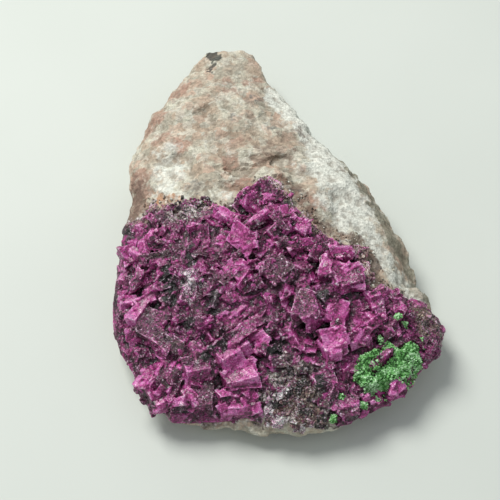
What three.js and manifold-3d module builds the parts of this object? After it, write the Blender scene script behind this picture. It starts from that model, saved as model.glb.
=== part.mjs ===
// A hand specimen of cobaltoan calcite with malachite: a tapering slab of pale limestone matrix,
// a crust of pink rhombic calcite crystals over its wide end, and green malachite on the crust.
// Millimetres. +Z is up, +Y points to the narrow tip, the slab rests on its flat underside.
import * as THREE from 'three';
import { mergeVertices } from 'three/addons/utils/BufferGeometryUtils.js';
import { ImprovedNoise } from 'three/addons/math/ImprovedNoise.js';
import Module from 'manifold-3d';

const wasm = await Module();
wasm.setup();

// Driving dimensions
const PEAK_HEIGHT = 12.2; // top of the bare matrix above the table
const GAP = 0.3; // clear space between touching pieces
const CRUST = 1.5; // depth the calcite crust is let into the matrix
const RINGS = 12; // rows of facets from the slab's middle to its shoulder
const WALL_ROWS = 4; // rows of facets from the shoulder down to the foot
const HIDDEN_RINGS = 7; // the same on the surfaces under the crystals
const HIDDEN_WALL_ROWS = 3;
const LIMIT_DROP = 0.4; // the crust ends this far below the slab's widest line
const LIMIT_RISE = 1.1; // and this far above it along the bare front
const LIMIT_WAVER = 0.7; // swing of the crust's ragged lower limit
const FILL_STEP = 2.9; // spacing of the smaller crystals
const PATCH_STEP = 1.4; // spacing of the lumps of malachite in the main patch
const LUMP_LIFT = 0.35; // height of a lump's middle above the crust in the main patch
const TUFT_LIFT = 0.2; // the same for the loose tufts
const POCKET = 0.4; // how much wider and deeper a pocket is than its malachite

// The slab's plan, anticlockwise from the right of the tip. Each row is
// [x, y, height of the widest line, inset of the shoulder, height of the shoulder, inset of the foot].
const STATIONS = [
  [-3.5, 30.3, 4.5, 0.8, 7.0, 2.6],
  [-6.4, 31.6, 4.5, 0.9, 7.2, 2.8],
  [-10.3, 31.4, 4.5, 0.9, 7.0, 2.8],
  [-12.5, 28.5, 4.5, 0.9, 6.8, 2.6],
  [-14.9, 24.9, 4.4, 1.0, 6.8, 2.4],
  [-17.0, 21.0, 4.2, 1.0, 6.8, 2.4],
  [-18.5, 17.4, 4.2, 1.1, 6.8, 2.6],
  [-20.1, 12.8, 4.0, 1.2, 6.8, 2.8],
  [-20.1, 10.1, 4.3, 1.3, 7.5, 3.0],
  [-19.7, 6.6, 4.3, 1.2, 7.2, 3.0],
  [-20.4, 4, 4.1, 1.1, 6.5, 3.0],
  [-20.6, 1, 3.9, 1.0, 6.1, 2.8],
  [-20.9, -2.6, 3.7, 1.0, 5.7, 2.8],
  [-21.4, -5.8, 3.5, 1.0, 5.4, 2.8],
  [-21.2, -9.6, 3.5, 1.0, 5.7, 2.8],
  [-21.4, -12.6, 3.5, 1.0, 5.5, 2.8],
  [-20.0, -14.9, 3.3, 1.0, 5.4, 2.8],
  [-18.7, -17.6, 3.1, 1.0, 5.2, 2.8],
  [-16.9, -19.9, 3.0, 1.0, 5.0, 2.8],
  [-15.2, -22.2, 2.9, 1.0, 4.9, 2.8],
  [-13.4, -24.1, 2.8, 1.0, 4.8, 2.8],
  [-10.4, -24.1, 2.7, 0.9, 4.7, 2.6],
  [-7.4, -23.9, 2.7, 0.8, 4.7, 2.4],
  [-4.4, -23.8, 2.5, 0.7, 4.8, 2.2],
  [-1.7, -25.0, 2.4, 0.7, 4.8, 2.2],
  [1.3, -25.9, 2.3, 0.7, 4.8, 2.4],
  [4.5, -25.4, 2.4, 0.7, 4.8, 2.6],
  [7, -24.9, 2.5, 0.8, 4.9, 3.0],
  [9.7, -23.6, 2.7, 0.9, 5.0, 3.2],
  [12.1, -21.9, 2.9, 1.0, 5.1, 3.4],
  [15.4, -20.4, 3.1, 1.0, 5.3, 3.4],
  [17.3, -18.0, 3.3, 1.0, 5.5, 3.4],
  [19.1, -16.0, 3.5, 1.0, 5.7, 3.2],
  [21.0, -13.8, 3.5, 1.0, 6.0, 3.0],
  [20.7, -11.4, 3.2, 1.1, 5.2, 2.8],
  [19.7, -8.3, 3.4, 1.5, 6.2, 2.6],
  [18.2, -6.1, 3.6, 1.8, 7.0, 2.6],
  [17.5, -3.7, 3.8, 2.0, 7.6, 2.8],
  [16.4, -0.1, 3.8, 2.1, 8.2, 3.0],
  [14.5, 2.9, 3.8, 2.0, 8.4, 3.0],
  [13.3, 6, 4.0, 1.9, 8.6, 3.0],
  [11.3, 9.5, 4.2, 1.7, 8.6, 2.8],
  [9.3, 12.5, 4.4, 1.4, 8.4, 2.8],
  [7.1, 14.2, 4.5, 1.1, 8.2, 2.6],
  [4.8, 17.1, 4.5, 0.9, 8.0, 2.4],
  [2.7, 20.8, 4.5, 0.8, 7.8, 2.4],
  [0.0, 23.1, 4.5, 0.8, 7.6, 2.4],
  [-1.7, 25.7, 4.5, 0.8, 7.2, 2.4],
];
const MIDDLE = new THREE.Vector2(-1.5, -1.0); // where the slab is thickest

const perlin = new ImprovedNoise();
const rough = (x, y, z, size) => perlin.noise(x / size + 7.3, y / size + 2.1, z / size + 4.7);

// One closed curve carries the plan, a second one the wall's insets and heights.
const planCurve = new THREE.CatmullRomCurve3(
  STATIONS.map(([x, y, widest]) => new THREE.Vector3(x, y, widest)), true, 'centripetal');
const wallCurve = new THREE.CatmullRomCurve3(
  STATIONS.map(([, , , inset, top, foot]) => new THREE.Vector3(inset, top, foot)), true, 'catmullrom');

// The wall at a share of the way round: widest line, shoulder and foot.
function wallAt(share) {
  const t = planCurve.getUtoTmapping(share);
  const widest = planCurve.getPoint(t);
  const { x: inset, y: top, z: foot } = wallCurve.getPoint(t);
  const inward = new THREE.Vector2(MIDDLE.x - widest.x, MIDDLE.y - widest.y).normalize();
  return {
    widest,
    shoulder: new THREE.Vector3(widest.x + inward.x * inset, widest.y + inward.y * inset, top),
    foot: new THREE.Vector3(widest.x + inward.x * foot, widest.y + inward.y * foot, 0),
    outward: new THREE.Vector2(-inward.x, -inward.y),
  };
}

const wallAround = (steps) => Array.from({ length: steps }, (_, i) => wallAt(i / steps));

// The shoulder seen from the middle: how far off it is and how high, in any direction.
const shoulderTable = Array.from({ length: 720 }, (_, i) => {
  const { shoulder } = wallAt(i / 720);
  const dx = shoulder.x - MIDDLE.x;
  const dy = shoulder.y - MIDDLE.y;
  return { angle: Math.atan2(dy, dx), reach: Math.hypot(dx, dy), top: shoulder.z };
}).sort((a, b) => a.angle - b.angle);

function shoulderTowards(angle) {
  let low = 0;
  let high = shoulderTable.length - 1;
  while (high - low > 1) {
    const half = (low + high) >> 1;
    if (shoulderTable[half].angle > angle) high = half;
    else low = half;
  }
  return shoulderTable[low];
}

// Shallow ledges step across the bare matrix's upper face.
const LEDGES = [
  { from: [-12, 14], to: [6, 12], drop: 0.7, width: 0.8 },
  { from: [-8, 9.5], to: [8, 7], drop: 0.6, width: 0.7 },
  { from: [-16, 21], to: [-2, 24], drop: 0.5, width: 1.0 },
];

function ledgeDrop(x, y) {
  let drop = 0;
  for (const { from, to, drop: depth, width } of LEDGES) {
    const length = Math.hypot(to[0] - from[0], to[1] - from[1]);
    const along = [(to[0] - from[0]) / length, (to[1] - from[1]) / length];
    const run = (x - from[0]) * along[0] + (y - from[1]) * along[1];
    const wander = 1.2 * rough(run, depth * 40, 0, 4);
    const side = (y - from[1]) * along[0] - (x - from[0]) * along[1] + wander;
    const begun = THREE.MathUtils.smoothstep(run, -2, 2);
    const ended = THREE.MathUtils.smoothstep(run, length - 2, length + 2);
    const fade = Math.exp(-Math.max(side, 0) / 5);
    drop += depth * begun * (1 - ended) * fade * THREE.MathUtils.smoothstep(side, 0, width);
  }
  return drop;
}

// The broad fracture faces of the upper side: [height at the origin, rise along X, rise along Y].
const FACES = [
  [12.9, -0.02, -0.105], // the bare face, falling away to the tip
  [13.6, 0.02, 0.235], // the front face
  [14.2, 0.21, 0.02], // the left face
  [13.7, -0.19, 0.03], // the right face
];

function faceHeight(x, y) {
  const sharpness = 1.6;
  const sum = FACES.reduce((total, [height, alongX, alongY]) => (
    total + Math.exp(-sharpness * (height + alongX * x + alongY * y))), 0);
  return Math.min(-Math.log(sum) / sharpness, PEAK_HEIGHT);
}

// Lumps of three sizes lie on those faces: [swing in height, spacing, layer of the noise].
const LUMPS = [
  [0.75, 8, 0],
  [0.45, 3.6, 9],
  [0.22, 1.9, 20],
];

// How far out a place lies: 0 in the middle, 1 at the shoulder, whose height comes with it.
function outwardness(x, y) {
  const dx = x - MIDDLE.x;
  const dy = y - MIDDLE.y;
  const { reach, top } = shoulderTowards(Math.atan2(dy, dx));
  return { share: Math.hypot(dx, dy) / reach, top };
}

// Height of the slab's upper face. The faces bend down to the shoulder as they near it.
function topHeight(x, y) {
  const { share: unlimited, top } = outwardness(x, y);
  const share = Math.min(unlimited, 1);
  const face = top + (faceHeight(x, y) - top) * (1 - share ** 3.2);
  const lump = LUMPS.reduce((sum, [swing, size, layer]) => sum + swing * rough(x, y, layer, size), 0);
  const calm = 1 - 0.45 * THREE.MathUtils.smoothstep(share, 0.85, 1);
  return face + lump * calm - ledgeDrop(x, y);
}

// The slab as one closed mesh, made larger all round by grow.
function slabGeometry(grow, rings = RINGS) {
  const wallRows = rings === RINGS ? WALL_ROWS : HIDDEN_WALL_ROWS;
  const edgeSteps = 6 * rings;
  const edge = wallAround(edgeSteps);
  const points = [MIDDLE.x, MIDDLE.y, topHeight(MIDDLE.x, MIDDLE.y) + grow];
  const faces = [];
  const ringStart = [0];
  for (let ring = 1; ring <= rings; ring++) {
    ringStart.push(points.length / 3);
    for (let step = 0; step < 6 * ring; step++) {
      const { shoulder, outward } = wallAt(step / (6 * ring));
      const share = ring / rings;
      const x = MIDDLE.x + (shoulder.x - MIDDLE.x) * share;
      const y = MIDDLE.y + (shoulder.y - MIDDLE.y) * share;
      const push = grow * THREE.MathUtils.smoothstep(share, 0.8, 1) * 0.8;
      points.push(x + outward.x * push, y + outward.y * push, topHeight(x, y) + grow);
    }
  }
  for (let ring = 1; ring <= rings; ring++) {
    const count = 6 * ring;
    const inner = Math.max(6 * (ring - 1), 1);
    for (let step = 0; step < count; step++) {
      const side = Math.floor(step / ring);
      const here = ringStart[ring] + step;
      const next = ringStart[ring] + ((step + 1) % count);
      const inHere = ringStart[ring - 1] + ((step - side) % inner);
      const inNext = ringStart[ring - 1] + ((step - side + 1) % inner);
      faces.push(here, next, inHere);
      if (ring > 1 && step % ring !== ring - 1) faces.push(next, inNext, inHere);
    }
  }
  let above = ringStart[rings];
  for (let row = 1; row <= wallRows; row++) {
    const start = points.length / 3;
    for (let step = 0; step < edgeSteps; step++) {
      const { widest, shoulder, foot, outward } = edge[step];
      const t = row / wallRows;
      const curve = new THREE.QuadraticBezierCurve3(shoulder, bulge(widest, shoulder, foot), foot);
      const bow = curve.getPoint(t);
      const chips = 0.5 * rough(bow.x, bow.y, bow.z * 1.6, 3.2) + 0.3 * rough(bow.x, bow.y, bow.z, 1.7);
      const push = grow + (row < wallRows ? chips : 0);
      points.push(bow.x + outward.x * push, bow.y + outward.y * push, bow.z + grow * (1 - 2 * t));
    }
    for (let step = 0; step < edgeSteps; step++) {
      const next = (step + 1) % edgeSteps;
      faces.push(start + step, start + next, above + step);
      faces.push(start + next, above + next, above + step);
    }
    above = start;
  }
  const footPlan = [];
  for (let step = 0; step < edgeSteps; step++) {
    footPlan.push(new THREE.Vector2(points[(above + step) * 3], points[(above + step) * 3 + 1]));
  }
  for (const [a, b, c] of THREE.ShapeUtils.triangulateShape(footPlan, [])) {
    faces.push(above + c, above + b, above + a);
  }
  return closed(points, faces);
}

// The control point that makes the wall's curve touch its widest line.
function bulge(widest, shoulder, foot) {
  const middle = new THREE.Vector3().addVectors(shoulder, foot).multiplyScalar(0.25);
  return widest.clone().sub(middle).multiplyScalar(2);
}

function closed(points, faces) {
  const geometry = new THREE.BufferGeometry();
  geometry.setAttribute('position', new THREE.Float32BufferAttribute(points, 3));
  geometry.setIndex(faces);
  return geometry;
}

// Booleans run on manifold bodies.
function solid(geometry) {
  const plain = geometry.index ? geometry.clone() : geometry;
  plain.deleteAttribute('normal');
  plain.deleteAttribute('uv');
  const merged = mergeVertices(plain, 1e-5);
  return new wasm.Manifold(new wasm.Mesh({
    numProp: 3,
    vertProperties: new Float32Array(merged.attributes.position.array),
    triVerts: new Uint32Array(merged.index.array),
  }));
}

function geometryOf(body) {
  const { vertProperties, triVerts } = body.getMesh();
  return closed(Array.from(vertProperties), Array.from(triVerts));
}

// The largest piece of a body, without the crumbs a boolean may leave beside it.
function mainPiece(body) {
  return body.decompose().reduce((a, b) => (a.volume() > b.volume() ? a : b));
}

function prism(outline, low, high) {
  const shape = new THREE.Shape(outline.map(([x, y]) => new THREE.Vector2(x, y)));
  const geometry = new THREE.ExtrudeGeometry(shape, { depth: high - low, bevelEnabled: false });
  geometry.translate(0, 0, low);
  return solid(geometry);
}

// An anticlockwise outline moved outwards.
function outset(outline, by) {
  return outline.map(([x, y], i) => {
    const [lastX, lastY] = outline[(i + outline.length - 1) % outline.length];
    const [nextX, nextY] = outline[(i + 1) % outline.length];
    const before = new THREE.Vector2(y - lastY, lastX - x).normalize();
    const after = new THREE.Vector2(nextY - y, x - nextX).normalize();
    const corner = before.clone().add(after).normalize();
    const reach = by / Math.max(corner.dot(before), 0.5);
    return [x + corner.x * reach, y + corner.y * reach];
  });
}

function isInside(outline, x, y) {
  let inside = false;
  outline.forEach(([ax, ay], i) => {
    const [bx, by] = outline[(i + 1) % outline.length];
    if (ay > y !== by > y && x < ((bx - ax) * (y - ay)) / (by - ay) + ax) inside = !inside;
  });
  return inside;
}

// Where the crust lies, in plan, anticlockwise. It runs out past the slab all round the wide end,
// and a bay of bare matrix cuts into it at the front.
const CRUST_PLAN = [
  [26, -9.5], [18.6, -10], [17, -10], [16, -9], [15, -8.5], [13.7, -8.8], [12.6, -10], [11, -9.6],
  [10.7, -8], [10.2, -5.2], [10.5, -3.8], [9.1, -3], [7.7, -3.2], [6.6, -3], [5.6, -2], [4.5, -1.5],
  [3.8, 0], [2.5, 1.2], [1, 2.8], [-0.2, 4.8], [-1, 5.8], [-2, 6.2], [-2.8, 5.6], [-4.2, 3.6],
  [-5, 1.7], [-5.4, 0.7], [-7.4, 1.9], [-9.7, 2.4], [-11.6, 2.2], [-13.5, 2.4], [-14.9, 2.3],
  [-16, 4.6], [-17, 4.6], [-17.4, 2.8], [-19, 3.2], [-26, 2.4],
  [-26, -32], [-2.6, -32], [-2.4, -25.2], [-2.2, -23.4], [-1.2, -21.6], [1, -20.2], [3, -19.6],
  [4.1, -20.6], [4, -22.3], [5, -24], [6.7, -25], [7, -32], [26, -32],
];

// Everything under the crust's ragged lower limit, cut sink lower than that limit.
function underside(sink) {
  const points = [MIDDLE.x, MIDDLE.y, 1, MIDDLE.x, MIDDLE.y, -4];
  const faces = [];
  const count = 6 * RINGS;
  const REACH = 5; // the limit runs this far in and out from the slab's widest line
  wallAround(count).forEach(({ widest, outward }) => {
    const leftEnd = THREE.MathUtils.smoothstep(widest.x, -9, -4);
    const rightEnd = THREE.MathUtils.smoothstep(widest.x, 6, 9);
    const front = widest.y < 0 ? leftEnd * (1 - rightEnd) : 0;
    const level = THREE.MathUtils.lerp(-LIMIT_DROP, LIMIT_RISE, front);
    const limit = widest.z + level + LIMIT_WAVER * rough(widest.x, widest.y, 31, 2.3) - sink;
    const inner = [widest.x - outward.x * REACH, widest.y - outward.y * REACH];
    const outer = [widest.x + outward.x * REACH, widest.y + outward.y * REACH];
    points.push(...inner, limit, ...outer, limit, ...outer, -4);
  });
  for (let i = 0; i < count; i++) {
    const here = 2 + 3 * i;
    const next = 2 + 3 * ((i + 1) % count);
    faces.push(0, here, next);
    faces.push(here, here + 1, next, next, here + 1, next + 1);
    faces.push(here + 1, here + 2, next + 1, next + 1, here + 2, next + 2);
    faces.push(here + 2, 1, next + 2);
  }
  return solid(closed(points, faces));
}

// Flat chips struck off the sides: [x, y, z of a point on the fracture, turn and tilt of its face, size].
const SIDE_CHIPS = [
  [12.4, 6.4, 6.4, 28, 34, 9],
  [7.0, 14.0, 5.6, 42, 22, 9],
  [2.2, 20.8, 5.8, 33, 24, 8],
  [-7.2, 30.9, 4.6, 96, 14, 8],
  [-14.3, 24.7, 5.4, 148, 30, 8],
  [-18.9, 15.0, 5.2, 162, 28, 9],
  [-19.5, 8.6, 5.4, 184, 18, 6],
  [16.2, -3.2, 5.6, 2, 36, 8],
  [19.2, -8.0, 4.6, 346, 22, 5],
  [1.0, -25.0, 1.3, 268, -34, 16],
  [-19.9, -6.0, 1.5, 184, -36, 18],
  [12.0, 5.2, 1.6, 34, -34, 16],
  [-17.2, 16.4, 1.6, 152, -30, 15],
];

// Shallow flakes lifted off the bare face: [x, y, depth, turn and tilt of the face left, size].
const TOP_FLAKES = [
  [-5.0, 10.0, 0.55, 100, 80, 9],
  [3.5, 8.5, 0.5, 68, 76, 7],
  [-11.5, 14.5, 0.5, 128, 74, 8],
  [-6.5, 20.5, 0.45, 96, 80, 7],
  [-1.0, 15.5, 0.5, 62, 78, 6],
  [-14.5, 8.0, 0.45, 150, 72, 7],
  [9.5, 2.0, 0.5, 30, 74, 6],
];

// A block whose one face is the fracture.
function chip(x, y, z, turn, tilt, size) {
  const block = new THREE.BoxGeometry(size, size, size);
  block.translate(size / 2, 0, 0);
  block.rotateX(THREE.MathUtils.degToRad(turn * 2));
  block.rotateY(THREE.MathUtils.degToRad(-tilt));
  block.rotateZ(THREE.MathUtils.degToRad(turn));
  block.translate(x, y, z);
  return solid(block);
}

// A ray dropped onto a mesh gives the height there.
const plumb = new THREE.Raycaster();

function heightOn(mesh, x, y) {
  plumb.set(new THREE.Vector3(x, y, 50), new THREE.Vector3(0, 0, -1));
  const hit = plumb.intersectObject(mesh)[0];
  return hit ? hit.point.z : 0;
}

const wholeSlab = new THREE.Mesh(slabGeometry(0));
const chips = SIDE_CHIPS.map((row) => chip(...row));
for (const [x, y, depth, turn, tilt, size] of TOP_FLAKES) {
  chips.push(chip(x, y, heightOn(wholeSlab, x, y) - depth, turn, tilt, size));
}
const bareSlab = solid(slabGeometry(0)).subtract(wasm.Manifold.union(chips));
const cover = prism(CRUST_PLAN, -5, 30).subtract(underside(0));
const recess = prism(outset(CRUST_PLAN, GAP), -5, 30).subtract(underside(GAP));
const recessFloor = solid(slabGeometry(-CRUST, HIDDEN_RINGS));
const matrixBody = mainPiece(bareSlab.subtract(recess.subtract(recessFloor)));

// Calcite cleaves into rhombohedra: every corner angle of a face is 78.1 or 101.9 degrees.
const OBTUSE = Math.cos(THREE.MathUtils.degToRad(101.9));
const EDGE_A = new THREE.Vector3(1, 0, 0);
const EDGE_B = new THREE.Vector3(OBTUSE, Math.sqrt(1 - OBTUSE ** 2), 0);
const shared = (OBTUSE - OBTUSE ** 2) / EDGE_B.y;
const EDGE_C = new THREE.Vector3(OBTUSE, shared, -Math.sqrt(1 - OBTUSE ** 2 - shared ** 2));

// A rhombohedron whose upper face is centred on the origin.
function rhomb(length, width, depth) {
  const points = [];
  for (const c of [0, 1]) {
    for (const [a, b] of [[-0.5, -0.5], [0.5, -0.5], [0.5, 0.5], [-0.5, 0.5]]) {
      const corner = EDGE_A.clone().multiplyScalar(a * length);
      corner.addScaledVector(EDGE_B, b * width).addScaledVector(EDGE_C, c * depth);
      points.push(corner.x, corner.y, corner.z);
    }
  }
  const faces = [0, 1, 2, 0, 2, 3, 4, 6, 5, 4, 7, 6];
  for (let i = 0; i < 4; i++) {
    const j = (i + 1) % 4;
    faces.push(i, i + 4, j, j, i + 4, j + 4);
  }
  return closed(points, faces);
}

// One crystal. Heading turns its length in plan, lean tips it about its length, dip lowers its far end.
function crystal([x, y, length, width, depth, heading, lean, dip, lift]) {
  const geometry = rhomb(length, width, depth);
  geometry.rotateX(THREE.MathUtils.degToRad(lean));
  geometry.rotateY(THREE.MathUtils.degToRad(dip));
  geometry.rotateZ(THREE.MathUtils.degToRad(heading));
  geometry.translate(x, y, heightOn(wholeSlab, x, y) + lift);
  return solid(geometry);
}

// The crystals that can be told apart, each one
// [x, y, length, width, depth, heading, lean, dip, lift of its upper face above the crust].
const CRYSTALS = [
  // left edge, from the bare rock down
  [-15.9, 2.0, 2.6, 1.6, 2.4, 120, 25, 0, 0.9],
  [-14.8, -0.3, 2.4, 1.0, 2.0, 30, 30, 0, 0.9],
  [-15.1, -2.4, 2.8, 1.3, 2.0, -5, 30, 0, 0.8],
  [-18.7, -2.4, 3.2, 2.6, 2.6, 18, 34, -6, 1.2],
  [-17.2, -0.8, 3.0, 1.1, 2.2, 58, -25, 0, 1.1],
  [-15.7, -4.2, 3.8, 1.7, 2.4, 10, 30, 4, 1.0],
  [-17.6, -6.0, 2.8, 1.7, 2.6, 80, 30, 0, 1.2],
  [-19.6, -4.6, 2.6, 2.4, 2.4, 0, 5, -12, 0.7],
  [-19.4, -8.8, 2.4, 1.1, 2.2, 3, 25, -8, 0.8],
  [-16.8, -9.3, 2.8, 1.1, 2.2, 36, 30, 0, 1.0],
  [-19.3, -11.6, 2.4, 2.0, 2.4, 5, 32, -8, 0.8],
  [-18.8, -13.8, 1.8, 1.8, 2.2, -12, 38, -6, 0.9],
  [-16.3, -12.4, 3.6, 3.2, 2.6, -15, 8, 0, 1.1],
  [-15.1, -14.9, 5.4, 1.7, 2.4, -32, 20, 0, 1.2],
  [-17.2, -16.2, 1.6, 1.1, 1.8, 10, 30, 0, 0.8],
  [-16.4, -18.8, 4.4, 2.0, 2.8, 56, -28, 0, 0.9],
  [-13.8, -20.0, 2.8, 2.4, 2.4, -38, 22, 0, 0.8],
  [-14.4, -22.1, 3.4, 2.6, 2.6, 14, 30, 0, 1.1],
  [-12.4, -22.9, 3.0, 1.6, 2.4, 8, 45, 0, 0.7],
  [-11.3, -21.6, 2.4, 1.2, 2.0, -46, 30, 0, 1.0],
  // left of the middle
  [-10.2, -2.0, 2.4, 2.0, 2.4, -10, 42, 0, 1.2],
  [-10.5, -7.6, 2.6, 2.0, 2.4, 14, 20, 0, 1.3],
  [-11.8, -9.9, 2.0, 1.2, 2.0, 62, 20, 0, 0.9],
  [-8.1, -8.4, 2.2, 1.8, 2.2, -22, 28, 0, 0.9],
  [-9.5, -13.7, 2.4, 1.1, 2.0, 24, 32, 0, 1.0],
  [-12.0, -16.9, 1.7, 1.1, 1.8, 0, 32, 0, 0.9],
  [-10.6, -18.3, 3.4, 1.9, 2.4, 4, 25, 0, 1.1],
  [-11.1, -20.0, 1.9, 1.4, 2.0, -8, 38, 0, 0.8],
  [-9.2, -21.8, 2.4, 2.2, 2.2, 20, 16, 0, 0.9],
  [-5.1, -15.3, 6.6, 1.6, 2.6, 33, 28, 0, 1.4],
  [-6.3, -16.9, 4.4, 2.6, 2.6, 24, 40, 0, 1.1],
  [-4.8, -19.8, 4.0, 3.6, 3.0, 4, 20, 0, 1.5],
  [-5.0, -22.7, 4.8, 2.6, 2.8, 2, 34, 0, 1.0],
  // the ridge along the bare rock
  [-6.9, -0.1, 3.8, 1.5, 2.4, -26, 34, 0, 1.0],
  [-2.1, 2.6, 4.4, 4.2, 3.2, 38, 34, -8, 1.4],
  [-3.1, -1.3, 2.2, 1.1, 2.0, 32, 34, 0, 1.0],
  [-4.9, -3.6, 3.8, 3.0, 2.8, -42, 32, 0, 1.4],
  [-0.1, -1.9, 3.4, 1.5, 2.4, 46, 34, 0, 1.1],
  [2.5, -1.4, 2.8, 1.8, 2.4, -16, 28, 0, 1.2],
  [1.0, -4.4, 2.8, 1.9, 2.4, 20, 28, 0, 0.9],
  [4.6, -5.0, 2.4, 1.5, 2.2, 64, 24, 0, 0.9],
  [7.6, -5.2, 2.8, 1.7, 2.4, 0, 38, 0, 1.1],
  [5.4, -7.0, 3.0, 1.2, 2.2, 100, -20, 0, 1.2],
  [8.3, -8.3, 4.2, 3.2, 2.8, -6, 22, 0, 1.4],
  // the middle
  [-4.1, -7.2, 3.4, 1.1, 2.0, 32, 34, 0, 0.9],
  [-0.4, -7.6, 3.4, 3.3, 2.6, 26, 12, 0, 1.3],
  [-3.7, -9.3, 2.8, 1.8, 2.2, 20, 26, 0, 1.0],
  [2.8, -11.4, 4.6, 2.7, 2.8, 108, -10, 8, 1.5],
  [-1.1, -16.8, 1.4, 0.9, 1.6, 30, 30, 0, 0.9],
  [0.5, -15.1, 1.4, 1.4, 1.8, 12, 20, 0, 0.9],
  [-0.3, -18.3, 2.0, 1.5, 2.0, 0, 26, 0, 0.8],
  // right of the middle
  [7.0, -13.6, 3.2, 1.9, 2.4, 84, 12, 0, 1.1],
  [11.1, -13.9, 4.2, 1.3, 2.2, 36, 32, 0, 1.1],
  [6.4, -15.6, 3.0, 2.4, 2.6, 10, 24, 0, 1.4],
  [8.5, -15.3, 2.4, 0.9, 2.0, 16, 24, 0, 1.2],
  [10.2, -15.2, 1.9, 1.4, 2.0, 62, 22, 0, 0.9],
  [12.3, -11.6, 1.4, 1.2, 1.8, 0, 24, 0, 0.9],
  [14.5, -11.3, 2.8, 1.7, 2.4, -56, 28, 0, 1.0],
  [5.1, -20.4, 2.2, 1.9, 2.2, 22, 24, 0, 0.9],
  [5.6, -22.6, 2.3, 1.8, 2.2, -12, 30, 0, 0.8],
  [8.0, -23.0, 2.7, 2.2, 2.2, 16, 18, 0, 0.8],
  [11.5, -21.7, 3.2, 1.8, 2.4, 26, 32, 0, 1.1],
  [14.2, -20.4, 2.3, 2.0, 2.2, 42, 26, 0, 1.1],
  [18.3, -12.3, 2.8, 2.4, 2.4, -42, 4, 16, 0.5],
  [18.6, -14.2, 2.2, 2.0, 2.2, 20, 20, 20, 0.4],
  [16.8, -11.0, 2.4, 1.8, 2.2, 64, 14, 6, 0.6],
];

// A slender crystal that stands up through the malachite.
const SLENDER = [12.4, -17.3, 3.4, 0.8, 2.0, 44, 0, 0, 1.3];

// The main patch of malachite in plan, and its loose tufts, each one [x, y, radius].
const MALACHITE_PLAN = [
  [8.6, -19.6], [9.6, -18.8], [9.2, -17.8], [10.3, -16.9], [11.8, -16.1], [12.8, -15.5], [14.6, -15.2],
  [15.6, -14.4], [16.8, -15.0], [17.6, -15.8], [17.4, -17.2], [16.0, -18.8], [14.2, -19.6],
  [12.9, -20.8], [11.2, -21.4], [10.2, -21.2], [9.6, -20.6],
];
const TUFTS = [
  [[10.1, -22.6, 0.75]],
  [[6.4, -24.4, 0.9]],
  [[7.2, -22.0, 0.65], [7.9, -21.9, 0.45]],
  [[14.5, -12.6, 0.55]],
  [[15.5, -12.9, 0.5], [15.8, -13.5, 0.5]],
  [[14.1, -13.9, 0.4]],
  [[12.2, -15.0, 0.6]],
  [[17.6, -14.6, 0.5]],
  [[18.0, -15.4, 0.55]],
];

let seed = 20417;
function random(low, high) {
  seed = (seed * 16807) % 2147483647;
  return low + ((high - low) * seed) / 2147483647;
}

// Places on a staggered grid, each shifted by up to waver.
function scatter([fromX, fromY], [toX, toY], step, waver) {
  const places = [];
  for (let row = 0; fromY + step * row < toY; row++) {
    for (let x = fromX + 0.5 * step * (row % 2); x < toX; x += step) {
      places.push([x + random(-waver, waver), fromY + step * row + random(-waver, waver)]);
    }
  }
  return places;
}

// Smaller crystals fill the crust between the ones above.
const crystals = [...CRYSTALS];
for (const [x, y] of scatter([-21, -24.5], [21, 6], FILL_STEP, 0.7)) {
  const size = random(1.6, 2.8);
  const turned = [random(-90, 90), random(5, 45), random(-10, 10)];
  const shape = [size, size * random(0.6, 1), 2.2, ...turned, random(0.3, 0.9)];
  const crowded = CRYSTALS.some(([atX, atY, length, width]) => (
    Math.hypot(atX - x, atY - y) < 0.3 * (length + width)));
  const onCrust = isInside(CRUST_PLAN, x, y) && !isInside(outset(MALACHITE_PLAN, 0.8), x, y);
  if (onCrust && !crowded && outwardness(x, y).share < 0.94) crystals.push([x, y, ...shape]);
}

const crustFloor = solid(slabGeometry(GAP - CRUST, HIDDEN_RINGS));
const keepOut = crustFloor.add(solid(slabGeometry(GAP)).subtract(cover));
const crustShell = solid(slabGeometry(0, HIDDEN_RINGS)).intersect(cover);
const rhombs = [...crystals, SLENDER].map(crystal);
const druse = wasm.Manifold.union([crustShell, ...rhombs]);
const druseMesh = new THREE.Mesh(geometryOf(druse));

// Malachite is made of small lumps sunk into pockets of the crust. Spots are [x, y, z, radius].
function lumps(spots, grow) {
  return wasm.Manifold.union(spots.map(([x, y, z, radius]) => {
    const lump = new THREE.IcosahedronGeometry(radius + grow, 0);
    lump.rotateX(x);
    lump.rotateZ(y);
    lump.translate(x, y, z);
    return solid(lump);
  }));
}

const patchSpots = scatter([8, -21.2], [18, -14], PATCH_STEP, 0.2)
  .filter(([x, y]) => isInside(MALACHITE_PLAN, x, y))
  .map(([x, y]) => [x, y, heightOn(wholeSlab, x, y) + LUMP_LIFT, random(0.9, 1.2)]);
const tuftSpots = TUFTS.map((tuft) => (
  tuft.map(([x, y, radius]) => [x, y, heightOn(druseMesh, x, y) + TUFT_LIFT, radius])));

const patchFloor = solid(slabGeometry(0, HIDDEN_RINGS));
const pocketFloor = solid(slabGeometry(-POCKET, HIDDEN_RINGS));
const slenderRoom = crystal(SLENDER.map((value, i) => ([2, 3, 4].includes(i) ? value + 2 * GAP : value)));
const patchPocket = lumps(patchSpots, POCKET).subtract(crystal(SLENDER));
const tuftPockets = wasm.Manifold.union(tuftSpots.map((spots) => lumps(spots, POCKET)));
const pockets = patchPocket.add(tuftPockets).subtract(pocketFloor);
const patchBody = mainPiece(
  lumps(patchSpots, 0).subtract(patchFloor).subtract(slenderRoom).subtract(tuftPockets));

const crustBody = mainPiece(druse.subtract(pockets).subtract(underside(0)).subtract(keepOut));

function look(color, roughness) {
  return new THREE.MeshStandardMaterial({ color, roughness, metalness: 0, flatShading: true });
}

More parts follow.
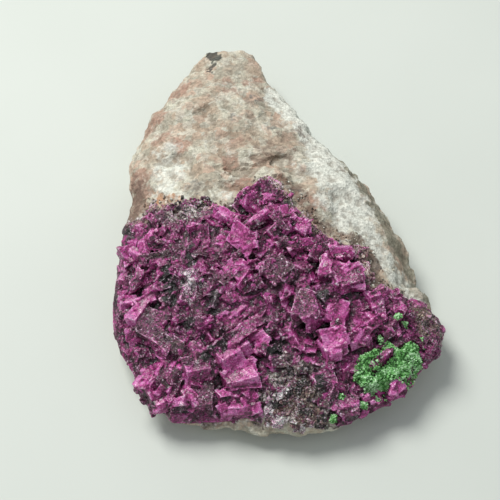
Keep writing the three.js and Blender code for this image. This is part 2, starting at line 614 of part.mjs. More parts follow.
const MATRIX_STONE = look(0xb9a995, 0.85);
const PINK_CALCITE = look(0x9c2f78, 0.4);
const GREEN_MALACHITE = look(0x5aa05c, 0.8);

const specimen = new THREE.Group();
function addPiece(name, body, material) {
  const mesh = new THREE.Mesh(geometryOf(body), material);
  mesh.name = name;
  specimen.add(mesh);
}
addPiece('matrix_rock', matrixBody, MATRIX_STONE);
addPiece('calcite_crust', crustBody, PINK_CALCITE);
addPiece('malachite_patch', patchBody, GREEN_MALACHITE);
tuftSpots.forEach((spots, i) => {
  addPiece(`malachite_tuft_${i + 1}`, mainPiece(lumps(spots, 0).subtract(patchFloor)), GREEN_MALACHITE);
});

// The specimen stands on Z = 0 with the middle of its box on the Z axis.
const box = new THREE.Box3().setFromObject(specimen);
specimen.position.set(-(box.min.x + box.max.x) / 2, -(box.min.y + box.max.y) / 2, -box.min.z);

export default specimen;
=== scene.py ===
"""A specimen of cobaltoan calcite with malachite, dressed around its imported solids.

Lengths are in millimetres and turn into metres when a piece is made. Tables of zones hold
(x, y, radius, strength) in the frame, seen from above. Factors inside a step were set by eye.
"""

import itertools
import math

import bmesh
import bpy
import numpy as np
from mathutils import Matrix, Vector
from mathutils.bvhtree import BVHTree


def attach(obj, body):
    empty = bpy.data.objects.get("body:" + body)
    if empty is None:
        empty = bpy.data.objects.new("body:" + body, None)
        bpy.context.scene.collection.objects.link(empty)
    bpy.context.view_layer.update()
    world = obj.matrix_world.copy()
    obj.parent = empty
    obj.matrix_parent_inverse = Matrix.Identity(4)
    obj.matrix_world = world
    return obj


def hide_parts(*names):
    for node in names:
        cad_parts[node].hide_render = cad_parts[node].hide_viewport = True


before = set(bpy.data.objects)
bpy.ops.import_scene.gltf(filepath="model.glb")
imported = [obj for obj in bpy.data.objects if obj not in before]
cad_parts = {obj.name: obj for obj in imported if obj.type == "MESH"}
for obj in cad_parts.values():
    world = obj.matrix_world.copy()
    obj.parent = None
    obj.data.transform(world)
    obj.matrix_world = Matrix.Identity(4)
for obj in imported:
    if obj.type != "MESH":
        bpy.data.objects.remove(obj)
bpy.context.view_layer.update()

MM = 0.001
SEED = 20417
rng = np.random.default_rng(SEED)

# Camera: where it looks, how steeply, from how far, its lens and its sensor
AIM = (-3.54, -3.67, 6.0)
VIEW_ELEVATION = math.radians(60.0)
VIEW_DISTANCE = 216.7
LENS = 120.0
SENSOR = 36.0

# Fineness of the meshes
STONE_VOXEL = 0.27
CRUST_VOXEL = 0.18
MOSS_VOXEL = 0.22
HIDDEN_SAVING = 0.93  # share of the triangles that go where the rock hides the crust

# How much of each kind is grown
STEP_COUNT = 420
SMALL_COUNT = 850
MIDDLING_COUNT = 120
CRISP_COUNT = 750
FINE_COUNT = 5000
NOTCH_COUNT = 1000
GRAIN_COUNT = 5200
CREEPING_COUNT = 1700
TUFTS_PER_MM2 = 40.0

GROOVE = 0.3  # clear space between the solids of the crust and the rock
GROWTH_HEADINGS = (38.0, -50.0)  # the two ways that most crystals lie, in degrees
LEFT_RIM = -20.4  # no crystal has its middle left of this
PEAK = (-1.8, 2.0, 3.4, 1.7, 12.0)  # back of the crust's peak: x, y, half width, half depth, lowest height
TIP_CUT = ((-9.1, 27.4), (-11.8, 24.2))  # across the tip's left corner, (x, height in the picture)
RIM_STEP = (7.3, 0.8)  # a step of the solid near the crust's right border, which is smoothed
RESTING = 0.12  # rock below this height lies on the table and stays flat
FLAKY_PLACE = (-2.5, 4.8)  # middle of the flaking rock behind the crust


# Noise

LATTICE = rng.permutation(256)
SLOPES = rng.normal(size=(256, 3))
SLOPES /= np.linalg.norm(SLOPES, axis=1)[:, None]
LAYER_STEP = np.array((17.31, 5.93, 11.17))
NOISE_GAIN = 1.7  # brings the noise to about -1 to 1


def dot(first, second):
    """The dot product of each pair of rows."""
    return np.einsum("ij,ij->i", first, second)


def unit(vectors):
    """The vectors at length one."""
    return vectors / np.maximum(np.linalg.norm(vectors, axis=1), 1e-12)[:, None]


def noise(points, size, layer=0):
    """Smooth noise from about -1 to 1 with lumps of that size; the layer picks one of many fields."""
    place = np.asarray(points, float) / size + layer * LAYER_STEP
    cell = np.floor(place).astype(int)
    inside = place - cell
    eased = inside**3 * (inside * (inside * 6 - 15) + 10)
    total = np.zeros(len(place))
    for corner in itertools.product((0, 1), repeat=3):
        x, y, z = ((cell + corner) & 255).T
        slope = SLOPES[LATTICE[(LATTICE[(LATTICE[x] + y) & 255] + z) & 255]]
        weight = np.prod(np.where(corner, eased, 1 - eased), axis=1)
        total += weight * dot(slope, inside - corner)
    return total * NOISE_GAIN


def summed_noise(points, rows):
    """Noise in several sizes, each row (height, size, layer)."""
    return sum(height * noise(points, size, layer) for height, size, layer in rows)


def bent_in_plan(points, share, size, layer):
    """The points pushed about sideways by noise."""
    push = [noise(points, size, layer), noise(points, size, layer + 1), np.zeros(len(points))]
    return points + share * np.stack(push, axis=1)


def smoothstep(low, high, value):
    """0 at low and 1 at high, with a soft change between."""
    t = np.clip((value - low) / (high - low), 0, 1)
    return t * t * (3 - 2 * t)


def zone_mark(points, zones, waver=0.35, layer=40):
    """How far each point lies in any of the zones, whose rims waver."""
    bent = points[:, :2].copy()
    for axis in (0, 1):
        push = noise(points, 1.6, layer + axis) + 0.5 * noise(points, 0.6, layer + 3 + axis)
        bent[:, axis] += waver * push
    mark = np.zeros(len(points))
    for x, y, radius, strength in zones:
        away = np.hypot(bent[:, 0] - x, bent[:, 1] - y) / radius
        mark = np.maximum(mark, strength * smoothstep(1.25, 0.6, away))
    return mark


def between(number, *spans):
    """Random rows with one column for each span."""
    return np.stack([rng.uniform(low, high, number) for low, high in spans], axis=1)


# Meshes as arrays


def arrays_of(mesh):
    """Corners and triangles of a mesh."""
    corners = np.empty(len(mesh.vertices) * 3, np.float32)
    mesh.vertices.foreach_get("co", corners)
    mesh.calc_loop_triangles()
    triangles = np.empty(len(mesh.loop_triangles) * 3, np.int32)
    mesh.loop_triangles.foreach_get("vertices", triangles)
    return corners.reshape(-1, 3).astype(float), triangles.reshape(-1, 3)


def solid_arrays(name):
    """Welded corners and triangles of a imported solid."""
    corners, triangles = arrays_of(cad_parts[name].data)
    corners = corners / MM
    _, first, place = np.unique(np.round(corners, 3), axis=0, return_index=True, return_inverse=True)
    triangles = place.reshape(-1)[triangles]
    whole = (triangles != np.roll(triangles, 1, axis=1)).all(axis=1)
    return corners[first], triangles[whole]


def form_arrays(form):
    """Corners and faces of a small form, which is then let go."""
    corners = np.array([tuple(corner.co) for corner in form.verts])
    faces = np.array([[corner.index for corner in face.verts] for face in form.faces])
    form.free()
    return corners, faces


def face_normals(corners, faces):
    """Normals of triangles or quads, twice as long as the area."""
    first, second, third = (corners[faces[:, i]] for i in range(3))
    if faces.shape[1] == 4:
        return np.cross(third - first, corners[faces[:, 3]] - second)
    return np.cross(second - first, third - first)


def surface(corners, faces):
    """Area, unit normal and middle of each face."""
    normals = face_normals(corners, faces)
    return np.linalg.norm(normals, axis=1) / 2, unit(normals), corners[faces].mean(axis=1)


def corner_normals(corners, faces):
    """The mean normal round each corner, the larger faces weighing more."""
    normals = face_normals(corners, faces)
    total = np.zeros_like(corners)
    for side in range(faces.shape[1]):
        np.add.at(total, faces[:, side], normals)
    return unit(total)


def neighbours(faces):
    """Every edge of the faces, once, as pairs of corners."""
    sides = [faces[:, [i, (i + 1) % faces.shape[1]]] for i in range(faces.shape[1])]
    return np.unique(np.sort(np.concatenate(sides), axis=1), axis=0)


def spread(values, edges, rounds=1, share=1.0):
    """Values averaged over neighbouring corners."""
    values = np.array(values, float)
    flat = values.reshape(len(values), -1)
    count = np.bincount(edges.reshape(-1), minlength=len(flat))[:, None]
    for _ in range(rounds):
        total = np.zeros_like(flat)
        np.add.at(total, edges[:, 0], flat[edges[:, 1]])
        np.add.at(total, edges[:, 1], flat[edges[:, 0]])
        flat = flat + share * (total / np.maximum(count, 1) - flat)
    return flat.reshape(values.shape)


def mesh_from(name, corners, faces):
    """A mesh of faces that all have as many corners."""
    mesh = bpy.data.meshes.new(name)
    mesh.vertices.add(len(corners))
    mesh.vertices.foreach_set("co", np.asarray(corners, np.float32).ravel())
    mesh.loops.add(faces.size)
    mesh.loops.foreach_set("vertex_index", np.asarray(faces, np.int32).ravel())
    mesh.polygons.add(len(faces))
    mesh.polygons.foreach_set("loop_start", np.arange(0, faces.size, faces.shape[1], dtype=np.int32))
    mesh.update(calc_edges=True)
    return mesh


def linked(name, data):
    """An object in the scene."""
    body = bpy.data.objects.new(name, data)
    bpy.context.scene.collection.objects.link(body)
    return body


def through(modifier_kind, settings, corners, faces, weights=None):
    """The body's corners and triangles after one modifier; weights are its vertex group."""
    body = linked("worked", mesh_from("worked", corners, faces))
    modifier = body.modifiers.new("step", modifier_kind)
    if weights is not None:
        group = body.vertex_groups.new(name="part")
        group.add(np.nonzero(weights)[0].tolist(), 1.0, "REPLACE")
        modifier.vertex_group = "part"
    for key, value in settings.items():
        setattr(modifier, key, value)
    found = arrays_of(body.evaluated_get(bpy.context.evaluated_depsgraph_get()).to_mesh())
    body.to_mesh_clear()
    bpy.data.objects.remove(body)
    return found


def remeshed(corners, faces, voxel):
    """The same closed body on an even grid."""
    return through("REMESH", {"mode": "VOXEL", "voxel_size": voxel}, corners, faces)


def thinned(corners, faces, hidden):
    """The body with its hidden part in far fewer triangles."""
    ratio = 1 - HIDDEN_SAVING * hidden[faces].all(axis=1).mean()
    return through("DECIMATE", {"ratio": ratio}, corners, faces, hidden)


def tree_of(corners, faces):
    """The mesh in a form that finds the nearest place on it fast."""
    return BVHTree.FromPolygons([tuple(c) for c in corners], [tuple(int(i) for i in f) for f in faces])


def nearest(tree, points, reach):
    """For each point the distance to the mesh in the tree, the nearest place on it and its face."""
    away = np.full(len(points), reach)
    place = np.array(points, float)
    face = np.zeros(len(points), int)
    for i, point in enumerate(points):
        hit = tree.find_nearest(point, reach)
        if hit[0] is not None:
            place[i], _, face[i], away[i] = hit
    return away, place, face


def make_piece(name, corners, faces, marks, material, stands_for=(), smooth=0):
    """A piece in the scene; faces that meet at less than the smooth angle are shaded as one."""
    mesh = mesh_from(name, np.asarray(corners) * MM, faces)
    for title, values in marks.items():
        attribute = mesh.attributes.new(title, "FLOAT", "POINT")
        attribute.data.foreach_set("value", np.asarray(values, np.float32))
    if smooth:
        mesh.shade_smooth()
        mesh.set_sharp_from_angle(angle=math.radians(smooth))
    else:
        mesh.shade_flat()
    mesh.materials.append(material)
    body = linked(name, mesh)
    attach(body, "root")
    if stands_for:
        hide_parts(*stands_for)


# Steps of the materials


def is_socket(value):
    return isinstance(value, bpy.types.NodeSocket)


def fill(node, **inputs):
    """Sets each input or links it to a socket; a name's underscores are spaces, i1 is input number 1."""
    for key, value in inputs.items():
        name = key.replace("_", " ")
        socket = node.inputs[int(name[1:]) if name[1:].isdigit() else name]
        if is_socket(value):
            node.id_data.links.new(value, socket)
        else:
            socket.default_value = value
    return node


def add(tree, kind, settings=None, **inputs):
    """A node with its settings and its inputs."""
    node = tree.nodes.new("ShaderNode" + kind)
    for key, value in (settings or {}).items():
        setattr(node, key, value)
    return fill(node, **inputs)


def calc(operation, first, second, clamp=False):
    """Two values, at least one of them a socket, under one operation."""
    tree = (first if is_socket(first) else second).id_data
    return add(tree, "Math", {"operation": operation, "use_clamp": clamp}, i0=first, i1=second).outputs[0]


def plus(first, second, clamp=False):
    return calc("ADD", first, second, clamp)


def minus(first, second, clamp=False):
    return calc("SUBTRACT", first, second, clamp)


def times(first, second, clamp=False):
    return calc("MULTIPLY", first, second, clamp)


def swing(value, share, middle=0.5):
    """How far a value is from its middle, times a share."""
    return times(minus(value, middle), share)


def scaled(value, share, rest):
    """A share of a value on top of the rest."""
    return plus(times(value, share), rest)


def fade(value, low, high):
    """0 below low, 1 above high, with a soft change between."""
    settings = {"interpolation_type": "SMOOTHSTEP"}
    return add(value.id_data, "MapRange", settings, Value=value, From_Min=low, From_Max=high).outputs[0]


def blend(share, first, second, way="MIX"):
    """A share of the second colour over the first; the share or a colour is a socket."""
    tree = next(value for value in (share, first, second) if is_socket(value)).id_data
    first, second = (value if is_socket(value) else (*value, 1) for value in (first, second))
    settings = {"data_type": "RGBA", "blend_type": way}
    return add(tree, "Mix", settings, i0=share, i6=first, i7=second).outputs[2]


def painted(colour, *layers):
    """The colour under layers of paint, each one (share, mask, paint)."""
    for share, mask, paint in layers:
        colour = blend(times(mask, share), colour, paint)
    return colour


def shaded(colour, shade):
    """The colour times a shade of grey."""
    grey = add(shade.id_data, "CombineXYZ", X=shade, Y=shade, Z=shade).outputs[0]
    return blend(1.0, colour, grey, "MULTIPLY")


def ramp(value, *stops):
    """The value as a colour; the stops go up from 0 to 1, each one (position, colour)."""
    node = add(value.id_data, "ValToRGB", Fac=value)
    made = node.color_ramp.elements
    for position, _ in stops[1:-1]:
        made.new(position)
    for stop, (_, colour) in zip(made, stops):
        stop.color = (*colour, 1)
    return node.outputs[0]


def cloud(place, lumps_per_mm, detail, roughness=0.5):
    """Soft noise in a shader."""
    inputs = {"Vector": place, "Scale": lumps_per_mm, "Detail": detail, "Roughness": roughness}
    return add(place.id_data, "TexNoise", **inputs).outputs[0]


def cells(place, cells_per_mm):
    """Cells: the distance to the middle of each, and its three random shares."""
    node = add(place.id_data, "TexVoronoi", Vector=place, Scale=cells_per_mm)
    return node.outputs["Distance"], add(place.id_data, "SeparateColor", Color=node.outputs["Color"]).outputs


def mark(tree, name):
    """A mark that the script painted on the mesh by place."""
    return add(tree, "Attribute", {"attribute_name": name}).outputs["Fac"]


def new_group(name, inputs, outputs):
    """An empty shader node group; an input with no value is a place."""
    group = bpy.data.node_groups.new(name, "ShaderNodeTree")
    for title, value in {"Place": None, **inputs}.items():
        kind = "NodeSocketVector" if value is None else "NodeSocketFloat"
        socket = group.interface.new_socket(title, in_out="INPUT", socket_type=kind)
        if value is not None:
            socket.default_value = value
    for title in outputs:
        kind = "NodeSocketColor" if title == "Colour" else "NodeSocketFloat"
        group.interface.new_socket(title, in_out="OUTPUT", socket_type=kind)
    return group, group.nodes.new("NodeGroupInput").outputs, group.nodes.new("NodeGroupOutput")


def use(group, place, **inputs):
    """A group placed in the tree of that place, with its own values."""
    return add(place.id_data, "Group", {"node_tree": group}, Place=place, **inputs).outputs


def grain_group():
    """Fine crystal grain: each grain has its own brightness and kind, and a height for the bump."""
    inputs = {"Grains per mm": 4.0, "Roughening": 0.5}
    group, given, result = new_group("crystal grain", inputs, ("Brightness", "Height", "Glint", "Kind"))
    middle, shares = cells(given["Place"], given["Grains per mm"])
    coarse = cloud(given["Place"], given["Grains per mm"], 3.0)
    uneven = times(coarse, given["Roughening"])
    brightness = fade(scaled(shares[0], 0.6, uneven), 0.3, 0.95)
    height = plus(scaled(shares[1], 0.5, middle), uneven)
    glint = fade(scaled(coarse, 0.3, shares[2]), 1.06, 1.14)
    fill(result, Brightness=brightness, Height=height, Glint=glint, Kind=shares[1])
    return group


def fines_group():
    """Fines that settled on the faces that look up, thicker in patches."""
    group, given, result = new_group("settled fines", {"Amount": 0.5, "Patches per mm": 0.8}, ("Mask",))
    normal = add(group, "NewGeometry").outputs["Normal"]
    upward = fade(add(group, "SeparateXYZ", Vector=normal).outputs[2], -0.1, 0.8)
    patches = cloud(given["Place"], given["Patches per mm"], 4.0)
    grains = cloud(given["Place"], 6.0, 2.0)
    cover = times(given["Amount"], scaled(upward, 0.5, 0.5))
    level = plus(plus(cover, swing(patches, 1.2)), swing(grains, 0.7))
    fill(result, Mask=fade(level, 0.0, 0.95))
    return group


def streak_group():
    """Fine growth streaks that all run one way across the crystals."""
    inputs = {"Streaks per mm": 3.0, "Heading": 0.66}
    group, given, result = new_group("growth streaks", inputs, ("Level",))
    settings = {"rotation_type": "Z_AXIS"}
    turned = add(group, "VectorRotate", settings, Vector=given["Place"], Angle=times(given["Heading"], -1.0))
    drawn = add(group, "VectorMath", {"operation": "MULTIPLY"}, i0=turned.outputs[0], i1=(0.22, 1.0, 1.0))
    lines = cloud(drawn.outputs[0], given["Streaks per mm"], 3.0)
    fill(result, Level=fade(lines, 0.32, 0.68))
    return group


def edge_highlight_group():
    """Painted highlight along the edges, pale and broken up."""
    group, given, result = new_group("painted edge highlights", {"Edge": 0.0, "Amount": 0.5}, ("Mask",))
    level = times(given["Edge"], times(cloud(given["Place"], 1.3, 4.0), 2.0))
    fill(result, Mask=times(fade(level, 0.35, 1.05), given["Amount"]))
    return group


def stain_group():
    """A stain that keeps to its mark on the mesh, with a ragged granular rim."""
    inputs = {"Mark": 0.0, "Scattered": 0.0, "Lumps per mm": 1.0}
    group, given, result = new_group("ragged stain", inputs, ("Mask",))
    broad = cloud(given["Place"], given["Lumps per mm"], 6.0, 0.62)
    level = plus(plus(given["Mark"], given["Scattered"]), swing(broad, 2.8))
    fill(result, Mask=fade(level, 0.2, 1.05))
    return group


def mottled_group():
    """Black, grey-brown and white crystals mixed in small lumps."""
    inputs = {"Lumps per mm": 1.6, "Mark": 0.0}
    group, given, result = new_group("mottled crystals", inputs, ("Colour", "Mask"))
    lumps = cloud(given["Place"], given["Lumps per mm"], 5.0, 0.7)
    _, shares = cells(given["Place"], times(given["Lumps per mm"], 2.2))
    level = plus(lumps, swing(shares[0], 0.22))
    dark = blend(fade(level, 0.38, 0.54), (0.012, 0.017, 0.015), (0.2, 0.15, 0.14))
    colour = blend(fade(level, 0.54, 0.68), dark, (0.66, 0.6, 0.6))
    fill(result, Colour=colour, Mask=fade(plus(given["Mark"], swing(lumps, 1.5)), 0.4, 0.8))
    return group


GRAIN, FINES, STREAKS = grain_group(), fines_group(), streak_group()
EDGES, STAIN, MOTTLED = edge_highlight_group(), stain_group(), mottled_group()


# Materials


def start_material(name):
    """A material with its tree, its shader and the place on the piece in millimetres."""
    material = bpy.data.materials.new(name)
    material.use_nodes = True
    tree = material.node_tree
    tree.nodes.clear()
    shader = add(tree, "BsdfPrincipled")
    add(tree, "OutputMaterial", i0=shader.outputs[0])
    place = add(tree, "TexCoord").outputs["Object"]
    place = add(tree, "VectorMath", {"operation": "SCALE"}, i0=place, Scale=1 / MM).outputs[0]
    return material, tree, shader, place


def bump(height, strength, distance):
    """The normal under a fine relief, its distance in millimetres."""
    settings = {"Height": height, "Strength": strength, "Distance": distance * MM}
    return add(height.id_data, "Bump", **settings).outputs[0]


def calcite_material():
    """Magenta calcite, with painted shade in its hollows and painted light on its crests and edges, under
    fines and stains.
    """
    material, tree, shader, place = start_material("cobaltoan calcite")
    dust, crest, depth = mark(tree, "dust"), mark(tree, "crest"), mark(tree, "depth")
    grain = use(GRAIN, place, Grains_per_mm=5.5, Roughening=0.7)
    bright, kind = grain["Brightness"], grain["Kind"]
    heading = math.radians(GROWTH_HEADINGS[0])
    streaks = use(STREAKS, place, Streaks_per_mm=2.6, Heading=heading)["Level"]
    broad, pits = cloud(place, 0.8, 5.0), cloud(place, 1.9, 3.0)
    hue, sand = cloud(place, 0.45, 3.0), cloud(place, 6.6, 1.0)

    tone = mark(tree, "tone")
    # The crest level in this sum is painted light and shade: crests lighter, hollows darker; the other levels
    # are the calcite's own tone
    for level, share in ((broad, 0.9), (pits, 0.5), (streaks, 0.18), (bright, 0.14), (crest, 0.85)):
        tone = plus(tone, swing(level, share))
    # Painted shade: the crevices are darkened by their depth
    tone = minus(tone, times(depth, 0.6), clamp=True)
    colour = ramp(
        tone,
        (0.0, (0.012, 0.002, 0.006)),
        (0.22, (0.07, 0.009, 0.036)),
        (0.48, (0.205, 0.028, 0.11)),
        (0.7, (0.4, 0.06, 0.23)),
        (0.88, (0.53, 0.085, 0.325)),
        (1.0, (0.63, 0.18, 0.45)),
    )

    clear = scaled(bright, 0.5, times(depth, 0.3))
    fines = use(FINES, place, Amount=dust, Patches_per_mm=0.8)["Mask"]
    fines = times(fines, minus(1.05, clear), clamp=True)
    grey = painted(
        blend(fade(hue, 0.35, 0.65), (0.11, 0.032, 0.072), (0.078, 0.042, 0.052)),
        (0.6, fade(kind, 0.76, 0.88), (0.135, 0.115, 0.08)),
        (0.6, fade(kind, 0.22, 0.1), (0.36, 0.2, 0.31)),
    )
    brown = blend(fade(kind, 0.45, 0.8), (0.115, 0.078, 0.06), (0.42, 0.345, 0.265))
    earth = use(STAIN, place, Mark=mark(tree, "earth"), Scattered=-0.1, Lumps_per_mm=1.3)["Mask"]
    soot = use(STAIN, place, Mark=mark(tree, "soot"), Scattered=-0.12, Lumps_per_mm=1.2)["Mask"]
    mottled = use(MOTTLED, place, Lumps_per_mm=1.5, Mark=mark(tree, "mottled"))
    # Painted highlight along the crystals' edges
    edge_highlight = use(EDGES, place, Edge=mark(tree, "edge"), Amount=0.62)["Mask"]
    # The pale mark gives pale crystals and painted glints, over a faint random haze
    haze = scaled(broad, 0.9, swing(sand, 1.6))
    pale = fade(plus(mark(tree, "pale"), haze), 0.75, 1.5)
    colour = painted(colour, (0.88, fines, grey), (0.85, earth, brown))
    colour = blend(mottled["Mask"], colour, mottled["Colour"])
    colour = painted(colour, (0.92, soot, (0.018, 0.026, 0.021)))
    # Pale lilac painted edge highlight
    colour = blend(edge_highlight, colour, (0.74, 0.47, 0.63))
    colour = blend(pale, colour, (0.76, 0.66, 0.7))

    shade = plus(swing(bright, scaled(dust, 0.95, 0.3), 0.45), 1.0)
    shade = plus(shade, swing(sand, 1.6))
    # Painted shade again: the colour is dimmed in the crevices by their depth
    colour = shaded(colour, times(shade, minus(0.95, times(depth, 0.65))))
    glint = times(grain["Glint"], scaled(dust, 0.5, 0.2))
    glint = times(glint, scaled(crest, 1.4, 0.25), clamp=True)
    colour = blend(glint, colour, (0.8, 0.64, 0.74))
    height = scaled(pits, 1.6, times(grain["Height"], scaled(fines, 0.9, 0.3)))
    fill(shader, Base_Color=colour, Roughness=scaled(fines, 0.45, 0.2), Normal=bump(height, 0.8, 0.08))
    fill(shader, Subsurface_Weight=0.3, Subsurface_Radius=(1.0, 0.25, 0.6), Subsurface_Scale=0.5 * MM)
    return material


def stone_material():
    """Beige limestone with bent flecks and white veins, under the stains that are marked on it, one of them
    partly painted shade.
    """
    material, tree, shader, place = start_material("limestone matrix")
    grain = use(GRAIN, place, Grains_per_mm=3.4, Roughening=0.8)
    broad, fine, swell = cloud(place, 0.35, 6.0, 0.6), cloud(place, 2.2, 5.0), cloud(place, 0.28, 2.0)
    swirl = add(tree, "TexNoise", Vector=place, Scale=0.9, Detail=3.0).outputs["Color"]
    bent = add(tree, "VectorMath", {"operation": "MULTIPLY_ADD"}, i0=swirl, i1=(1.6, 1.6, 1.6), i2=place)
    bent = bent.outputs[0]
    _, shares = cells(bent, 0.75)
    cracks = add(tree, "TexVoronoi", {"feature": "DISTANCE_TO_EDGE"}, Vector=bent, Scale=0.42).outputs[0]
    colour = painted(
        blend(fade(broad, 0.38, 0.62), (0.44, 0.35, 0.265), (0.55, 0.53, 0.43)),
        (0.55, fade(shares[0], 0.62, 0.8), (0.5, 0.35, 0.27)),
        (0.6, fade(shares[1], 0.66, 0.85), (0.37, 0.37, 0.3)),
        (0.6, fade(shares[2], 0.7, 0.9), (0.6, 0.58, 0.49)),
        (0.55, times(fade(cracks, 0.05, 0.0), fade(broad, 0.44, 0.58)), (0.68, 0.68, 0.61)),
    )
    for name, scattered, lumps, paint in (
        ("rust", 0.04, 0.9, (0.37, 0.22, 0.165)),
        ("white", -0.02, 0.9, (0.71, 0.73, 0.66)),
        ("brown", -0.02, 0.9, (0.17, 0.115, 0.09)),
        # Partly painted shade: the band along the right border
        ("drab_and_shade", -0.05, 0.8, (0.25, 0.235, 0.175)),
        ("orange", -0.25, 1.2, (0.45, 0.22, 0.11)),
        ("grey", -0.1, 1.4, (0.16, 0.155, 0.145)),
        ("black", -0.2, 1.2, (0.022, 0.026, 0.026)),
    ):
        stain = use(STAIN, place, Mark=mark(tree, name), Scattered=scattered, Lumps_per_mm=lumps)["Mask"]
        colour = painted(colour, (0.85, stain, paint))
    mottled = use(MOTTLED, place, Lumps_per_mm=1.4, Mark=mark(tree, "mottled"))
    colour = blend(mottled["Mask"], colour, mottled["Colour"])
    shade = scaled(grain["Brightness"], 0.36, times(fine, 0.8))
    colour = shaded(colour, plus(shade, scaled(swell, 0.5, 0.17)))
    fines = use(FINES, place, Amount=mark(tree, "depth"), Patches_per_mm=1.2)["Mask"]
    colour = painted(colour, (0.5, fines, (0.2, 0.16, 0.12)))
    fill(shader, Base_Color=colour, Roughness=0.85, Specular_IOR_Level=0.3)
    fill(shader, Normal=bump(scaled(fine, 1.5, grain["Height"]), 0.6, 0.12))
    return material


def malachite_material():
    """Velvet green, painted dark between the tufts as shade and minty at their tips as highlight."""
    material, tree, shader, place = start_material("velvet malachite")
    grain = use(GRAIN, place, Grains_per_mm=7.0, Roughening=0.6)
    tip = plus(mark(tree, "tip"), swing(cloud(place, 1.0, 4.0), 2.6))
    tip = plus(tip, swing(grain["Brightness"], 0.5, 0.6), clamp=True)
    colour = ramp(
        tip,
        (0.0, (0.03, 0.085, 0.025)),
        (0.26, (0.1, 0.33, 0.075)),
        (0.6, (0.26, 0.63, 0.21)),
        (1.0, (0.6, 0.88, 0.56)),
    )
    fill(shader, Base_Color=colour, Roughness=0.7, Specular_IOR_Level=0.35)
    fill(shader, Normal=bump(grain["Height"], 0.4, 0.05))
    return material


def table_material():
    """A plain pale table, hardly uneven in colour."""
    material, _, shader, place = start_material("pale table")
    colour = blend(cloud(place, 0.03, 3.0), (0.63, 0.67, 0.62), (0.7, 0.74, 0.69))
    fill(shader, Base_Color=colour, Roughness=0.6, Specular_IOR_Level=0.3)
    return material


CALCITE = calcite_material()
STONE = stone_material()
MALACHITE = malachite_material()
